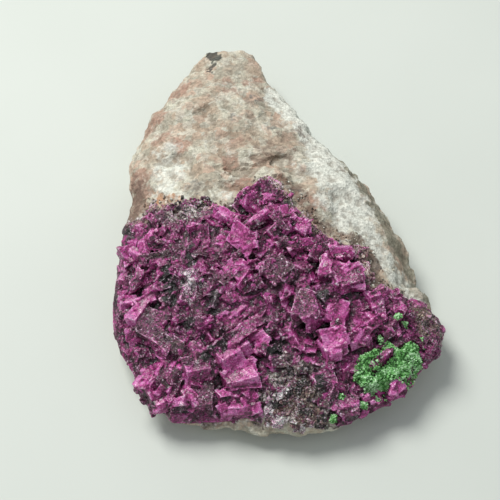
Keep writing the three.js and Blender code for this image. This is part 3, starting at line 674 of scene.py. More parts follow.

# Zones of the rock's stains; the grey-brown band along its right border is partly painted shade
STONE_STAINS = {
    "white": [
        (-14.0, 6.3, 2.8, 0.75), (-14.8, 9.8, 2.0, 0.7), (-12.9, 1.9, 1.7, 0.8), (-14.6, 3.6, 1.8, 0.85),
        (-0.5, 19.5, 1.8, 1.3), (2.5, 16.4, 1.9, 1.4), (5.1, 11.6, 2.0, 1.5), (7.0, 7.0, 2.1, 1.5),
        (8.8, 2.7, 2.1, 1.5), (9.8, 0.5, 2.0, 1.5), (11.0, -2.4, 1.9, 1.3), (6.7, 0.4, 2.0, 0.9),
        (8.6, -2.1, 1.9, 1), (9.5, 6.2, 1.8, 0.9), (11.2, 3.0, 1.8, 0.9), (12.2, 0.2, 1.7, 0.9),
        (3.2, 6.9, 1.4, 0.7), (-6.7, 1.0, 1.0, 0.7), (13.7, -7.3, 1.8, 0.9), (15.8, -9.0, 1.8, 0.9),
        (17.3, -12.5, 2.2, 1), (18.6, -14.3, 1.1, 0.9), (1.0, 18.0, 1.6, 1.3), (3.8, 14.0, 1.9, 1.5),
        (6.0, 9.3, 2.0, 1.5), (7.9, 4.8, 2.1, 1.5), (9.3, 1.5, 2.2, 1), (10.5, -1.0, 2.0, 1),
        (12.2, -4.4, 1.5, 0.9), (13.2, -6.0, 1.3, 0.9), (5.4, 6.2, 1.8, 1.2), (6.6, 3.8, 1.7, 1.2),
        (8.0, 0.2, 1.6, 1.2), (9.4, -1.6, 1.4, 1.1),
    ],
    # Grey-brown of the rock along its right border, darkened as painted shade where the wall beside it turns
    # from the light
    "drab_and_shade": [
        (9.9, 7.3, 0.9, 1.3), (10.9, 5.6, 0.9, 1.5), (11.9, 4.0, 1.0, 1.5), (12.8, 2.3, 1.1, 1.5),
        (13.6, 0.4, 1.1, 1.5), (14.2, -1.4, 1.1, 1.4), (15.0, -3.2, 1.2, 1.3), (16.2, -4.6, 1.2, 1.3),
        (17.2, -6.2, 1.1, 1.2), (18.3, -8.0, 1.0, 1.1), (19.2, -10.2, 0.9, 1), (8.6, 9.2, 0.7, 1),
        (7.2, 11.4, 0.6, 0.9),
    ],
    "mottled": [
        (2.6, -23.4, 2.0, 1), (1.0, -24.5, 2.0, 1), (-0.4, -26.0, 1.6, 0.9), (2.6, -26.0, 1.9, 0.9),
        (5.0, -26.4, 1.2, 0.7), (-13.6, -0.4, 1.3, 0.8), (-12.4, 0.0, 1.3, 0.8), (-11.0, -0.2, 1.3, 0.9),
        (-9.6, 0.0, 1.2, 0.8),
    ],
    "rust": [
        (-13.4, 21.0, 1.6, 0.9), (-15.9, 16.7, 1.5, 0.9), (-17.1, 15.4, 1.4, 0.8), (-15.1, 11.9, 1.8, 0.7),
        (-12.8, 10.4, 1.5, 0.8), (-18.3, 6.3, 1.8, 0.9), (-17.8, 3.8, 1.7, 0.95), (-18.2, 2.2, 1.6, 0.95),
        (-6.3, 20.4, 1.8, 0.5), (-2.9, 21.4, 1.4, 0.6), (-8.3, 19.7, 1.3, 0.4), (-5.9, 6.6, 1.3, 0.9),
        (-7.2, 7.2, 1.0, 0.7), (-5.5, 2.9, 1.6, 0.75), (-3.9, 3.3, 1.5, 0.75), (3.4, 6.2, 0.6, 0.9),
        (-4.9, 10.6, 1.6, 0.4), (0.6, 3.4, 1.1, 0.9), (1.9, 2.0, 1.0, 0.9), (5.2, -0.3, 1.3, 0.9),
        (3.2, 0.4, 1.1, 0.8), (4.1, -1.4, 1.0, 0.8), (4.2, 0.2, 0.9, 1), (4.8, -0.9, 0.9, 1),
    ],
    "brown": [
        (-1.2, 8.9, 2.2, 0.6), (-2.9, 7.4, 1.6, 0.5), (1.1, 8.5, 2.0, 0.5), (-0.2, 12.0, 1.8, 0.4),
        (3.1, 12.2, 1.8, 0.5), (9.9, -5.0, 1.1, 0.95), (10.8, -6.8, 1.2, 0.95), (11.8, -9.4, 1.4, 0.9),
        (12.8, -10.8, 1.3, 0.8), (7.9, -4.4, 1.0, 0.8), (-18.8, 5.4, 1.5, 0.7), (-18.6, 3.2, 1.6, 0.95),
        (-19.0, 1.2, 1.6, 1), (-19.8, -0.6, 1.3, 0.95), (0.9, 2.4, 0.9, 0.8), (1.9, 1.4, 0.9, 0.8),
        (3.1, 0.3, 0.9, 0.85), (4.1, -1.2, 1.0, 0.85), (5.2, -2.9, 1.0, 0.8), (6.4, -3.9, 1.0, 0.8),
        (1.6, 3.2, 0.9, 0.9), (2.7, 2.4, 0.9, 1), (3.3, 1.2, 0.9, 0.9), (4.4, -2.0, 0.8, 0.9),
        (10.9, -6.9, 1.2, 1.4), (12.3, -10.6, 1.2, 1.5), (9.6, -5.4, 1.0, 1.1), (11.8, -6.9, 1.1, 1.6),
        (12.2, -8.0, 1.0, 1.6), (11.6, -10.4, 1.1, 1.6), (12.6, -11.4, 0.9, 1.4), (-17.0, 2.4, 1.0, 0.6),
    ],
    "grey": [
        (-3.1, 17.8, 1.5, 0.55), (-1.4, 17.9, 1.1, 0.45), (-5.8, 14.6, 0.9, 0.8), (-0.6, 13.8, 1.2, 0.6),
        (-10.4, 3.1, 1.0, 0.65), (-11.6, 2.8, 0.8, 0.5), (-6.9, 14.1, 0.9, 0.4), (-13.9, -0.9, 1.3, 0.9),
        (-12.1, -0.6, 1.4, 0.9), (-10.6, -0.8, 1.4, 0.9), (-9.0, -0.5, 1.2, 0.8), (1.2, 2.6, 0.8, 0.8),
        (2.2, 1.8, 0.8, 0.8), (3.0, 0.6, 0.7, 0.7),
    ],
    "orange": [
        (-15.3, 2.4, 0.9, 1.05), (-14.3, 1.8, 0.9, 1.05), (-13.1, 1.2, 0.9, 0.95), (-14.8, 1.2, 0.8, 0.85),
        (-11.9, 0.7, 0.7, 0.7), (-15.9, 3.4, 0.7, 0.8),
    ],
    "black": [
        (-8.6, 27.2, 1.1, 1.5), (-8.3, 26.2, 0.9, 1.5), (-8.6, 24.8, 0.6, 1.4), (-8.8, 23.6, 0.5, 1.3),
        (-12.6, -1.0, 0.8, 0.6), (-10.2, -1.2, 0.8, 0.6),
    ],
}

# Zones where the crust is clean and bright, and where it is dusty
BRIGHT = [
    (-18.3, -5.1, 1.8, 1), (-16.9, -4.7, 1.4, 1), (-16.8, -3.5, 1.2, 0.8), (-19.0, -11.5, 1.2, 0.95),
    (-16.4, -12.0, 1.3, 0.7), (-18.4, -16.5, 1.1, 0.9), (-16.0, -21.5, 2.1, 0.9), (-14.0, -24.8, 1.9, 0.9),
    (-4.7, -18.0, 2.5, 0.6), (-5.9, -19.6, 2.0, 0.8), (-4.4, -22.5, 2.5, 1), (-4.6, -25.4, 2.5, 0.85),
    (-6.5, -2.8, 1.8, 0.75), (-1.7, -0.6, 1.8, 0.3), (-4.5, -6.3, 2.0, 1), (2.9, -4.1, 1.5, 0.9),
    (8.0, -7.9, 1.4, 0.85), (8.7, -11.0, 2.2, 0.4), (7.4, -16.3, 1.6, 0.7), (6.8, -18.3, 1.7, 1),
    (8.9, -18.0, 1.2, 0.8), (5.4, -17.6, 1.5, 1), (4.6, -18.8, 1.3, 0.9), (8.3, -16.8, 1.5, 1),
    (7.6, -18.9, 1.4, 1), (6.9, -19.4, 1.3, 0.9), (-4.2, -25.7, 1.8, 1), (-6.3, -26.2, 1.5, 0.9),
    (14.9, -14.0, 1.5, 0.85), (11.9, -24.4, 1.7, 1), (14.6, -23.1, 1.4, 1), (-10.9, -24.3, 1.3, 0.9),
    (-10.7, -22.7, 0.9, 0.8), (-3.7, -9.9, 1.6, 0.6), (5.8, -9.7, 1.2, 0.6), (11.5, -16.5, 1.6, 0.6),
]
DUSTY = [
    (-19.2, -7.3, 1.4, 0.9), (-15.9, -15.1, 1.9, 0.9), (-14.7, -17.6, 2.3, 0.8), (-13.4, -22.7, 1.5, 1),
    (-8.8, -24.5, 1.5, 0.9), (0.0, -10.3, 2.2, 1), (3.0, -13.4, 1.6, 0.7), (8.4, -25.7, 1.6, 0.7),
    (-12.0, -6.5, 2.5, 0.5), (2.0, -18.0, 3.0, 0.6), (-8.0, -12.5, 2.2, 0.5), (18.0, -15.5, 2.0, 0.8),
    (-2.5, 0.8, 2.4, 0.8), (-4.2, -0.2, 1.4, 0.6), (0.2, 0.0, 1.5, 0.6),
]

# Zones of soot, and of pale crystals and painted glints, which only the colour shows
SOOTY = [
    (-19.5, -0.6, 0.9, 0.8), (-19.2, -1.8, 0.7, 0.7), (-13.4, -11.0, 0.9, 1), (-13.6, -12.7, 0.9, 1),
    (-14.2, -8.6, 0.8, 0.9), (-11.7, -11.0, 0.8, 0.8), (-10.9, -8.0, 1.0, 0.8), (-0.4, -19.7, 0.9, 1),
    (-8.8, -19.7, 0.8, 0.9), (-7.9, -14.8, 1.0, 0.9), (-7.9, -12.6, 0.7, 0.8), (-11.0, -16.0, 0.9, 0.8),
    (1.6, -0.5, 0.7, 0.8), (-3.3, -5.4, 0.7, 0.7), (5.6, -13.2, 1.0, 1), (18.5, -15.9, 0.8, 0.5),
    (5.1, -23.2, 0.9, 0.8), (0.6, -18.7, 0.7, 0.7), (-16.1, -4.5, 0.7, 0.5), (-15.4, -12.9, 0.6, 0.6),
    (-14.3, -10.0, 0.8, 1), (-11.1, -7.0, 1.0, 0.9), (-8.3, -13.6, 0.9, 0.9), (-1.0, -15.8, 1.4, 0.5),
]
PALE = [
    (-10.9, -11.4, 0.7, 0.95), (-11.0, -12.4, 1.3, 0.5), (-11.3, -10.4, 1.6, 0.5), (-10.2, -11.6, 1.5, 0.45),
    (5.8, -9.7, 0.4, 0.8), (12.7, -14.3, 0.6, 0.5), (-10.2, -21.0, 0.5, 0.6), (-2.7, -4.0, 0.4, 0.8),
    (-12.0, -26.0, 0.4, 0.4), (6.6, -25.6, 1.6, 0.22), (8.8, -25.3, 1.6, 0.25), (11.8, -24.6, 1.2, 0.22),
    (14.6, -23.2, 1.2, 0.15),
]

# Zones of brown fines, nearly all where the crust thins out
EARTHY = [
    (-19.3, 0.0, 1.1, 0.8), (-18.2, 0.3, 1.1, 1), (-16.7, 0.4, 1.2, 1), (-15.6, 1.3, 1.2, 1),
    (-14.2, 0.8, 1.1, 0.9), (-9.2, -0.6, 1.0, 0.8), (-8.4, 0.0, 0.9, 0.8), (-1.4, 2.5, 0.9, 0.8),
    (-12.9, -1.5, 1.3, 0.5), (-10.9, -1.4, 1.2, 0.5), (-0.2, 2.0, 1.1, 1), (0.6, 1.4, 1.1, 1),
    (2.6, -13.8, 1.2, 0.45), (1.1, 0.2, 0.9, 0.9), (2.0, -0.8, 0.8, 0.8), (3.4, -2.2, 0.9, 0.9),
    (4.6, -3.9, 0.9, 0.8), (6.4, -4.6, 0.9, 0.8), (8.2, -5.2, 0.8, 0.8), (10.1, -5.9, 1.0, 0.9),
    (10.8, -7.4, 1.2, 1), (11.3, -9.2, 1.2, 1), (11.9, -10.7, 1.2, 1), (12.8, -12.2, 0.9, 0.7),
    (17.2, -13.4, 1.0, 0.8), (18.4, -14.2, 1.3, 1.1), (19.4, -14.6, 1.2, 1), (18.3, -15.8, 1.3, 0.8),
    (20.2, -15.8, 1.1, 0.7),
]

# Clean patches that only the colour shows: the peak's near face and crystals beside and behind the moss
FRESH = [
    (-3.4, 0.4, 1.3, 1), (-2.3, 1.0, 1.1, 0.9), (-1.4, 0.6, 1.0, 0.6), (6.9, -18.4, 1.7, 1),
    (7.6, -15.8, 1.3, 0.8), (9.0, -10.2, 1.6, 0.7),
]

# Darker stretches of the crust's left half and of two flat crystals, which only the colour shows
DULL = [
    (-14.6, -15.6, 3.4, 1), (-6.6, -19.6, 2.0, 1), (-5.4, -25.4, 1.6, 0.8), (-15.0, -8.6, 3.0, 0.6),
    (-10.0, -13.0, 3.2, 0.7), (-9.5, -21.5, 2.4, 0.7), (-17.5, -18.5, 2.4, 0.8), (-5.8, -19.4, 1.4, 0.8),
    (2.9, -13.4, 1.0, 0.9), (-0.1, -10.2, 1.6, 0.7),
]

# Zones of black, brown and white crystals on the crust, beside the notch and at its upper left border
SPECKLED = [
    (-13.6, -1.0, 1.0, 0.8), (-12.6, -0.8, 1.1, 0.85), (-11.5, -1.0, 1.1, 0.85), (-10.4, -0.9, 1.1, 0.85),
    (-9.4, -0.7, 1.0, 0.8), (-13.2, -2.2, 0.9, 0.6), (-11.3, -2.0, 0.9, 0.6), (-9.8, -1.9, 0.8, 0.6),
    (-14.2, -2.4, 0.8, 0.5), (-0.2, -22.6, 1.2, 0.9), (1.4, -22.0, 1.2, 0.9), (3.2, -21.8, 1.2, 0.8),
    (-1.6, -24.6, 1.0, 0.8), (4.9, -24.2, 1.0, 0.8), (5.6, -26.0, 1.0, 0.7), (0.6, -20.6, 0.9, 0.7),
]


# The rock

rock_corners, rock_triangles = solid_arrays("matrix_rock")
crust_corners, crust_triangles = solid_arrays("calcite_crust")
rock_tree = tree_of(rock_corners, rock_triangles)
crust_tree = tree_of(crust_corners, crust_triangles)
patch_tree = tree_of(*solid_arrays("malachite_patch"))

# Relief of the broken stone, each row (height, size, noise layer)
STONE_RELIEF = ((0.22, 2.6, 1), (0.14, 1.2, 2), (0.1, 0.6, 3))


def corners_cut(corners):
    """The rock with the left corner of its tip pressed in to the line of the cut."""
    (x1, v1), (x2, v2) = TIP_CUT
    out = np.array((v2 - v1, x1 - x2)) / math.hypot(x2 - x1, v2 - v1)
    seen = corners[:, 1] * math.sin(VIEW_ELEVATION) + corners[:, 2] * math.cos(VIEW_ELEVATION)
    beyond = np.maximum(out[0] * (corners[:, 0] - x1) + out[1] * (seen - v1), 0)
    beyond = beyond * smoothstep(16.0, 20.0, corners[:, 1])
    push = np.array((out[0], out[1] * math.sin(VIEW_ELEVATION), 0))
    return corners - (0.85 / (push @ push) * beyond)[:, None] * push


def front_lip(corners):
    """The rock with its low front edge standing out a little from under the crust."""
    x, y, z = corners.T
    out = smoothstep(-14.0, -9.5, x) * smoothstep(0.5, -3.0, x) * smoothstep(4.2, 2.2, z)
    out = out * smoothstep(-19.0, -23.0, y)
    return corners + out[:, None] * (-0.2, -1.0, 0)


def rock_piece():
    """The slab of rock: weathered, granular, flaky near the crust, and closed against the crust."""
    corners, quads = remeshed(rock_corners, rock_triangles, STONE_VOXEL)
    edges = neighbours(quads)
    resting = corners[:, 2:] < RESTING
    corners = np.where(resting, corners, spread(corners, edges, rounds=5, share=0.6))
    step = smoothstep(3.8, 1.6, np.hypot(corners[:, 0] - RIM_STEP[0], corners[:, 1] - RIM_STEP[1]))
    step = step * (corners[:, 2] > 6)
    corners = corners + step[:, None] * (spread(corners, edges, rounds=60, share=0.6) - corners)
    corners = front_lip(corners_cut(corners))
    normals = corner_normals(corners, quads)
    from_crust = nearest(crust_tree, corners, 2.0)[0]
    free = smoothstep(GROOVE, 0.9, from_crust) * smoothstep(0.0, 0.8, corners[:, 2])

    relief = summed_noise(corners, STONE_RELIEF)
    relief -= 0.12 * np.abs(noise(corners, 1.5, 4))
    from_flakes = np.hypot(corners[:, 0] - FLAKY_PLACE[0], 1.5 * (corners[:, 1] - FLAKY_PLACE[1]))
    layered = 2.4 * noise(corners * (0.7, 1.6, 1.0), 3.4, 5) + 0.5 * noise(corners, 1.0, 6)
    terrace = np.floor(layered) + smoothstep(0.75, 1.0, layered - np.floor(layered))
    relief += (0.34 * smoothstep(8.0, 3.0, from_flakes) + 0.08) * terrace
    walls = smoothstep(0.75, 0.3, np.abs(normals[:, 2]))
    relief += walls * 0.22 * (1 - np.abs(noise(corners * (1, 1, 1.6), 2.2, 8)) * 2)
    corners = corners + normals * (free * relief)[:, None]

    away, place, _ = nearest(crust_tree, corners, 0.9)
    pull = smoothstep(0.9, GROOVE * 1.35, away)
    towards = (place - corners) / np.maximum(away, 1e-6)[:, None]
    corners = corners + towards * (pull * (away + 0.07))[:, None]
    corners[:, 2] = np.maximum(corners[:, 2], 0.0)

    marks = {}
    for i, (name, zones) in enumerate(STONE_STAINS.items()):
        marks[name] = zone_mark(corners, zones, 0.7, 50 + 7 * i)
    marks["black"] *= smoothstep(2.5, 5.5, corners[:, 2] + noise(corners, 1.5, 41))
    border = smoothstep(1.3, 0.3, nearest(crust_tree, corners, 1.4)[0])
    marks["mottled"] = np.maximum(marks["mottled"], border * (0.55 + 0.5 * noise(corners, 1.2, 99)))
    hollow = spread(corners, edges, rounds=6) - corners
    marks["depth"] = np.clip(dot(hollow, corner_normals(corners, quads)) * 9 + 0.1, 0, 1)
    make_piece("rock", corners, quads, marks, STONE, ["matrix_rock"], smooth=40)


rock_piece()


# The crust's facets


def facet_numbers(corners, triangles, bend=2.0):
    """Numbers the flat facets that the triangles make up."""
    normals = unit(face_normals(corners, triangles))
    count = len(triangles)
    sides = np.concatenate([np.sort(triangles[:, [i, (i + 1) % 3]], axis=1) for i in range(3)])
    owner = np.tile(np.arange(count), 3)
    order = np.lexsort((sides[:, 1], sides[:, 0]))
    sides, owner = sides[order], owner[order]
    same = np.all(sides[1:] == sides[:-1], axis=1)
    first, second = owner[:-1][same], owner[1:][same]
    flat = dot(normals[first], normals[second]) > math.cos(math.radians(bend))
    number = np.arange(count)
    first, second = first[flat], second[flat]
    while True:
        lowest = np.minimum(number[first], number[second])
        before = number.copy()
        np.minimum.at(number, first, lowest)
        np.minimum.at(number, second, lowest)
        if np.array_equal(before, number):
            break
    return np.unique(number, return_inverse=True)[1].reshape(-1)


facet_of = facet_numbers(crust_corners, crust_triangles)
facet_count = facet_of.max() + 1
areas, unit_normals, centres = surface(crust_corners, crust_triangles)
facet_vector = np.zeros((facet_count, 3))
np.add.at(facet_vector, facet_of, face_normals(crust_corners, crust_triangles) / 2)
facet_area = np.linalg.norm(facet_vector, axis=1)
facet_normal = unit(facet_vector)
facet_surface = np.bincount(facet_of, areas, facet_count)
facet_centre = np.zeros((facet_count, 3))
np.add.at(facet_centre, facet_of, centres * areas[:, None])
facet_centre /= np.maximum(facet_surface, 1e-9)[:, None]

# A facet is open when enough of it stands clear of the rock
buried = (nearest(rock_tree, centres, 1.0)[0] < 0.45).astype(float)
facet_open = np.bincount(facet_of, areas * (1 - buried), facet_count) > 0.3 * facet_surface
open_triangle = facet_open[facet_of] & (buried < 0.5)

# Each facet's tone and dust
bright_facet = zone_mark(facet_centre, BRIGHT, 0.1)
dusty_facet = zone_mark(facet_centre, DUSTY, 0.2)
clean_facet = np.maximum(bright_facet, rng.random(facet_count) ** 2.5 * (1 - dusty_facet))
facet_tone = 0.36 + 0.12 * rng.normal(size=facet_count) + 0.34 * clean_facet - 0.1 * dusty_facet
facet_tone = np.clip(facet_tone, 0.05, 1)
facet_dust = 0.55 + 0.18 * rng.normal(size=facet_count) + 0.35 * dusty_facet - 0.65 * clean_facet
facet_dust = np.clip(facet_dust, 0, 1)


def longest_sides():
    """The direction of each facet's longest side."""
    ends = [crust_corners[crust_triangles[:, i]] for i in (0, 1, 2, 0)]
    sides = np.concatenate([ends[i + 1] - ends[i] for i in range(3)])
    facet = np.tile(facet_of, 3)
    order = np.lexsort((np.linalg.norm(sides, axis=1), facet))
    last = np.append(np.nonzero(np.diff(facet[order]))[0], len(order) - 1)
    return unit(sides[order[last]])


facet_along = longest_sides()
facet_across = np.cross(facet_normal, facet_along)
SCRAMBLE = (12.9898, 78.233, 43758.5453)  # large enough for neighbours to have nothing in common


def scramble(first, second):
    """A fixed random share from 0 to 1 for each pair of whole numbers."""
    value = np.asarray(first, float) * SCRAMBLE[0] + np.asarray(second, float) * SCRAMBLE[1]
    value = np.sin(value) * SCRAMBLE[2]
    return value - np.floor(value)


def strips(points, facet):
    """Growth strips along a facet's longest side, broken across: 0 to 1, the same over one block."""
    width = 0.35 + 0.5 * scramble(facet, 1)
    run = dot(points, facet_across[facet]) / width + 0.5 * noise(points, 1.6, 31)
    cross = dot(points, facet_along[facet]) / (2.4 * width) + 0.8 * noise(points, 1.3, 32)
    strip = np.floor(run)
    return scramble(facet * 31 + strip, np.floor(cross + 7 * scramble(facet, strip)))


# Height map of the crust, which tells crevices from crests; the calcite's crevices are painted darker by it,
# as shade

GRID = 0.3
MAP_LOW = np.array((-24.0, -32.0))
MAP_SIZE = (int(48 / GRID), int(44 / GRID))
ABOVE_ALL = 40.0


def crust_maps(reach=5):
    """Mean height of the crust round each place, and the distance in plan to its rim."""
    top = np.zeros(MAP_SIZE)
    for x, y in itertools.product(range(MAP_SIZE[0]), range(MAP_SIZE[1])):
        above = (MAP_LOW[0] + GRID * (x + 0.5), MAP_LOW[1] + GRID * (y + 0.5), ABOVE_ALL)
        hit = crust_tree.ray_cast(above, (0, 0, -1))
        top[x, y] = hit[0].z if hit[0] is not None else 0.0
    inside = top > 0
    known, total = inside.astype(float), top.copy()
    for axis in (0, 1):
        total = sum(np.roll(total, step, axis) for step in range(-reach, reach + 1))
        known = sum(np.roll(known, step, axis) for step in range(-reach, reach + 1))
    rim = np.zeros(MAP_SIZE)
    for _ in range(8):
        rim += inside * GRID
        around = [np.roll(inside, step, axis) for axis in (0, 1) for step in (1, -1)]
        inside = inside & np.all(around, axis=0)
    return total / np.maximum(known, 1e-9), rim


CRESTS, RIM = crust_maps()


def map_cells(points):
    """The cell of the height map that each point falls in."""
    return tuple(np.clip(((points[:, :2] - MAP_LOW) / GRID).astype(int), 0, np.array(MAP_SIZE) - 1).T)


def off_rim(points, near, far):
    """0 on the crust's rim, 1 well inside it."""
    return smoothstep(near, far, RIM[map_cells(points)])


def depth_at(points):
    """How deep the points lie between the crests round them, from 0 to 1."""
    deep = np.clip((CRESTS[map_cells(points)] - points[:, 2] - 0.1) / 1.1, 0, 1)
    return deep * (0.3 + 0.7 * off_rim(points, 0.3, 1.5))


def shared_marks(points):
    """The marks that depend on the place alone."""
    return {
        # depth: how deep a place lies, which the calcite turns into painted shade
        "depth": depth_at(points),
        "soot": 1.35 * zone_mark(points, SOOTY, 0.4, 60),
        "earth": zone_mark(points, EARTHY, 0.5, 110),
        "mottled": zone_mark(points, SPECKLED, 0.4, 80),
        "pale": zone_mark(points, PALE, 0.3, 70),
    }


# Calcite rhombs

OBTUSE = math.cos(math.radians(101.9))
EDGE_B = (OBTUSE, math.sqrt(1 - OBTUSE**2), 0)
SHARED = (OBTUSE - OBTUSE**2) / EDGE_B[1]
RHOMB_EDGES = np.array(((1, 0, 0), EDGE_B, (OBTUSE, SHARED, -math.sqrt(1 - OBTUSE**2 - SHARED**2))))
RHOMB_CORNERS = np.array(list(itertools.product((-0.5, 0.5), repeat=3)))


def rhomb_form(bevel):
    """Corners of a unit rhombohedron, as shares of its three edges, and its triangles."""
    form = bmesh.new()
    made = bmesh.ops.create_cube(form, size=1.0)
    for corner in made["verts"]:
        corner.co = Vector(np.array(corner.co) @ RHOMB_EDGES)
    if bevel:
        bmesh.ops.bevel(form, geom=form.edges[:], offset=bevel, segments=1, affect="EDGES")
    bmesh.ops.triangulate(form, faces=form.faces[:])
    bmesh.ops.recalc_face_normals(form, faces=form.faces[:])
    corners, triangles = form_arrays(form)
    if bevel:
        # Bevelling leaves the triangles in an order that changes from run to run
        triangles = np.array([np.roll(triangle, -triangle.argmin()) for triangle in triangles])
        triangles = triangles[np.lexsort(triangles.T[::-1])]
    return corners @ np.linalg.inv(RHOMB_EDGES), triangles


def ball_form():
    """Corners and triangles of a coarse ball, which is an icosahedron."""
    form = bmesh.new()
    bmesh.ops.create_icosphere(form, subdivisions=1, radius=1.0)
    return form_arrays(form)


# A loose crystal's crest mark lies above the middle, so it is painted a little lighter, as a lit crest
LOOSE_CREST = 0.6  # crest mark of a loose crystal
BEVELLED = rhomb_form(0.07)
PLAIN = rhomb_form(0.0)
BALL = ball_form()


def faces_of(form, number):
    """The faces of that many copies of a form."""
    corners, faces = form
    every = faces[None] + (np.arange(number) * len(corners))[:, None, None]
    return every.reshape(-1, 3)


def for_corners(form, marks):
    """Marks of each copy of a form, given to all its corners."""
    return {name: np.repeat(values, len(form[0])) for name, values in marks.items()}


def crystals_from(form, places, turns, sizes, warp=0.1):
    """Copies of a form, each one warped: its place is the centre, its turn has the axes in rows."""
    weights = np.prod(0.5 + 2 * form[0][:, None, :] * RHOMB_CORNERS[None], axis=2)
    warped = RHOMB_CORNERS + rng.normal(0, warp, (len(places), 8, 3))
    local = np.einsum("nv,kvc,kc,cd->knd", weights, warped, sizes, RHOMB_EDGES, optimize=True)
    corners = np.einsum("knd,kde->kne", local, turns) + places[:, None, :]
    return corners.reshape(-1, 3), faces_of(form, len(places))


def frames_about(normals, heading, lean, twist):
    """Axes with the third row along each normal and the first near the heading, tilted by two angles."""
    way = np.stack([np.cos(heading), np.sin(heading), np.full(len(normals), 1e-3)], axis=1)
    first = way - normals * dot(way, normals)[:, None]
    first /= np.linalg.norm(first, axis=1)[:, None]
    axes = np.stack([first, np.cross(normals, first), normals], axis=1)
    turns = np.empty((len(normals), 3, 3))
    for i in range(len(normals)):
        tilt = Matrix.Rotation(twist[i], 3, "Y") @ Matrix.Rotation(lean[i], 3, "X")
        turns[i] = np.array(tilt) @ axes[i]
    return turns


def grown_headings(number):
    """Most crystals lie along one of two ways across the crust, the rest anywhere."""
    draw = rng.random(number)
    along = np.where(draw < 0.4, *GROWTH_HEADINGS) + 18.0 * rng.normal(size=number)
    return np.radians(np.where(draw < 0.75, along, 360 * rng.random(number)))


def random_headings(normals):
    """A random direction in the plane of each normal."""
    return unit(np.cross(normals, rng.normal(size=normals.shape)))


def sample(corners, triangles, weight, number):
    """Random places on the triangles, with the triangle of each."""
    chosen = rng.choice(len(triangles), number, p=weight / weight.sum())
    a, b = rng.random((2, number))
    over = a + b > 1
    a[over], b[over] = 1 - a[over], 1 - b[over]
    first, second, third = (corners[triangles[chosen, i]] for i in range(3))
    return first + a[:, None] * (second - first) + b[:, None] * (third - first), chosen


# Crystals that stand out in the crust, each one
# (x, y, z of its top, heading, length, width, tilt to the far left, tone, dust)
LEADING = np.array((
    (-6.6, -2.6, 13.0, -34, 3.4, 1.5, 10, 0.74, 0.1), (-2.3, -3.3, 13.7, 38, 3.8, 0.8, 15, 0.8, 0.2),
    (-17.5, -4.9, 8.2, 45, 2.8, 2.2, 8, 0.76, 0.0), (-15.0, -7.0, 9.2, 12, 4.0, 1.6, 15, 0.6, 0.3),
    (-19.4, -7.9, 6.4, 60, 2.0, 1.6, 0, 0.6, 0.2), (-19.2, -11.7, 6.7, 5, 2.3, 1.2, 15, 0.88, 0.1),
    (-16.8, -12.5, 8.4, 25, 3.0, 1.4, 15, 0.78, 0.1), (-9.2, -16.3, 10.2, 20, 2.0, 1.1, 10, 0.66, 0.1),
    (-5.3, -15.0, 9.9, 38, 3.2, 1.4, 20, 0.7, 0.1), (-3.2, -12.8, 10.8, 28, 3.6, 1.2, 10, 0.62, 0.3),
    (-5.8, -19.4, 9.2, 30, 4.6, 2.6, 18, 0.66, 0.1), (-3.8, -17.0, 10.0, 34, 5.2, 1.6, -5, 0.6, 0.35),
    (-15.7, -15.2, 8.2, 20, 2.6, 2.2, 5, 0.34, 0.6), (-14.8, -17.8, 8.0, -42, 4.0, 2.0, 10, 0.45, 0.7),
    (-19.1, -16.4, 5.0, 70, 1.9, 1.3, 0, 0.68, 0.15), (-13.8, -22.8, 6.3, 30, 2.8, 2.4, 0, 0.25, 0.95),
    (-12.5, -26.0, 4.2, 10, 2.6, 1.4, 20, 0.85, 0.2), (-10.2, -21.4, 7.7, 10, 3.4, 2.2, 5, 0.64, 0.25),
    (-11.1, -24.5, 6.0, -40, 2.4, 1.2, 10, 0.85, 0.1), (-9.0, -24.5, 6.0, 80, 3.4, 2.4, 0, 0.35, 0.85),
    (-5.0, -25.6, 5.7, 20, 4.2, 2.6, 15, 0.82, 0.05), (0.7, -4.4, 13.4, 50, 1.8, 1.5, 5, 0.76, 0.15),
    (2.9, -4.4, 13.0, -35, 2.0, 1.4, 5, 0.76, 0.15), (5.8, -10.2, 12.8, 75, 2.4, 1.2, 0, 0.7, 0.1),
    (7.9, -8.1, 12.4, 5, 2.3, 1.4, 15, 0.62, 0.15), (3.3, -14.7, 11.8, 70, 4.4, 2.4, 0, 0.46, 0.8),
    (1.2, -14.6, 10.3, -45, 2.6, 0.7, 0, 0.9, 0.1), (1.2, -13.8, 10.7, 60, 2.0, 0.7, 0, 0.86, 0.1),
    (7.4, -14.9, 10.1, 65, 4.0, 2.0, 0, 0.7, 0.1), (6.8, -19.2, 9.5, 20, 3.4, 2.4, 12, 0.84, 0.0),
    (7.8, -18.2, 9.8, -60, 2.2, 1.4, 10, 0.92, 0.0), (9.9, -18.1, 9.0, 18, 2.8, 1.5, 10, 0.8, 0.05),
    (12.4, -13.8, 10.3, 20, 1.8, 0.9, 0, 0.72, 0.35), (5.5, -23.1, 7.7, 10, 3.2, 1.8, 10, 0.52, 0.55),
    (8.4, -25.4, 5.9, 15, 2.8, 1.8, 10, 0.62, 0.4), (0.2, -10.5, 12.9, 44, 3.4, 3.0, 0, 0.28, 1.0),
    (-14.4, -24.8, 5.7, 30, 3.0, 2.3, 15, 0.68, 0.1), (8.7, -11.3, 12.3, 15, 3.6, 2.6, 0, 0.46, 0.45),
    (-4.6, -22.6, 8.0, 12, 4.2, 2.8, 14, 0.64, 0.0),
))


def clear_places(points):
    """Where crystals may stand: off the moss, the back of the crust's peak and its left rim."""
    x, y, half_width, half_depth, height = PEAK
    behind = np.hypot((points[:, 0] - x) / half_width, (points[:, 1] - y) / half_depth) < 1
    behind = behind & (points[:, 2] > height)
    return (nearest(patch_tree, points, 0.6)[0] > 0.3) & ~behind & (points[:, 0] > LEFT_RIM)


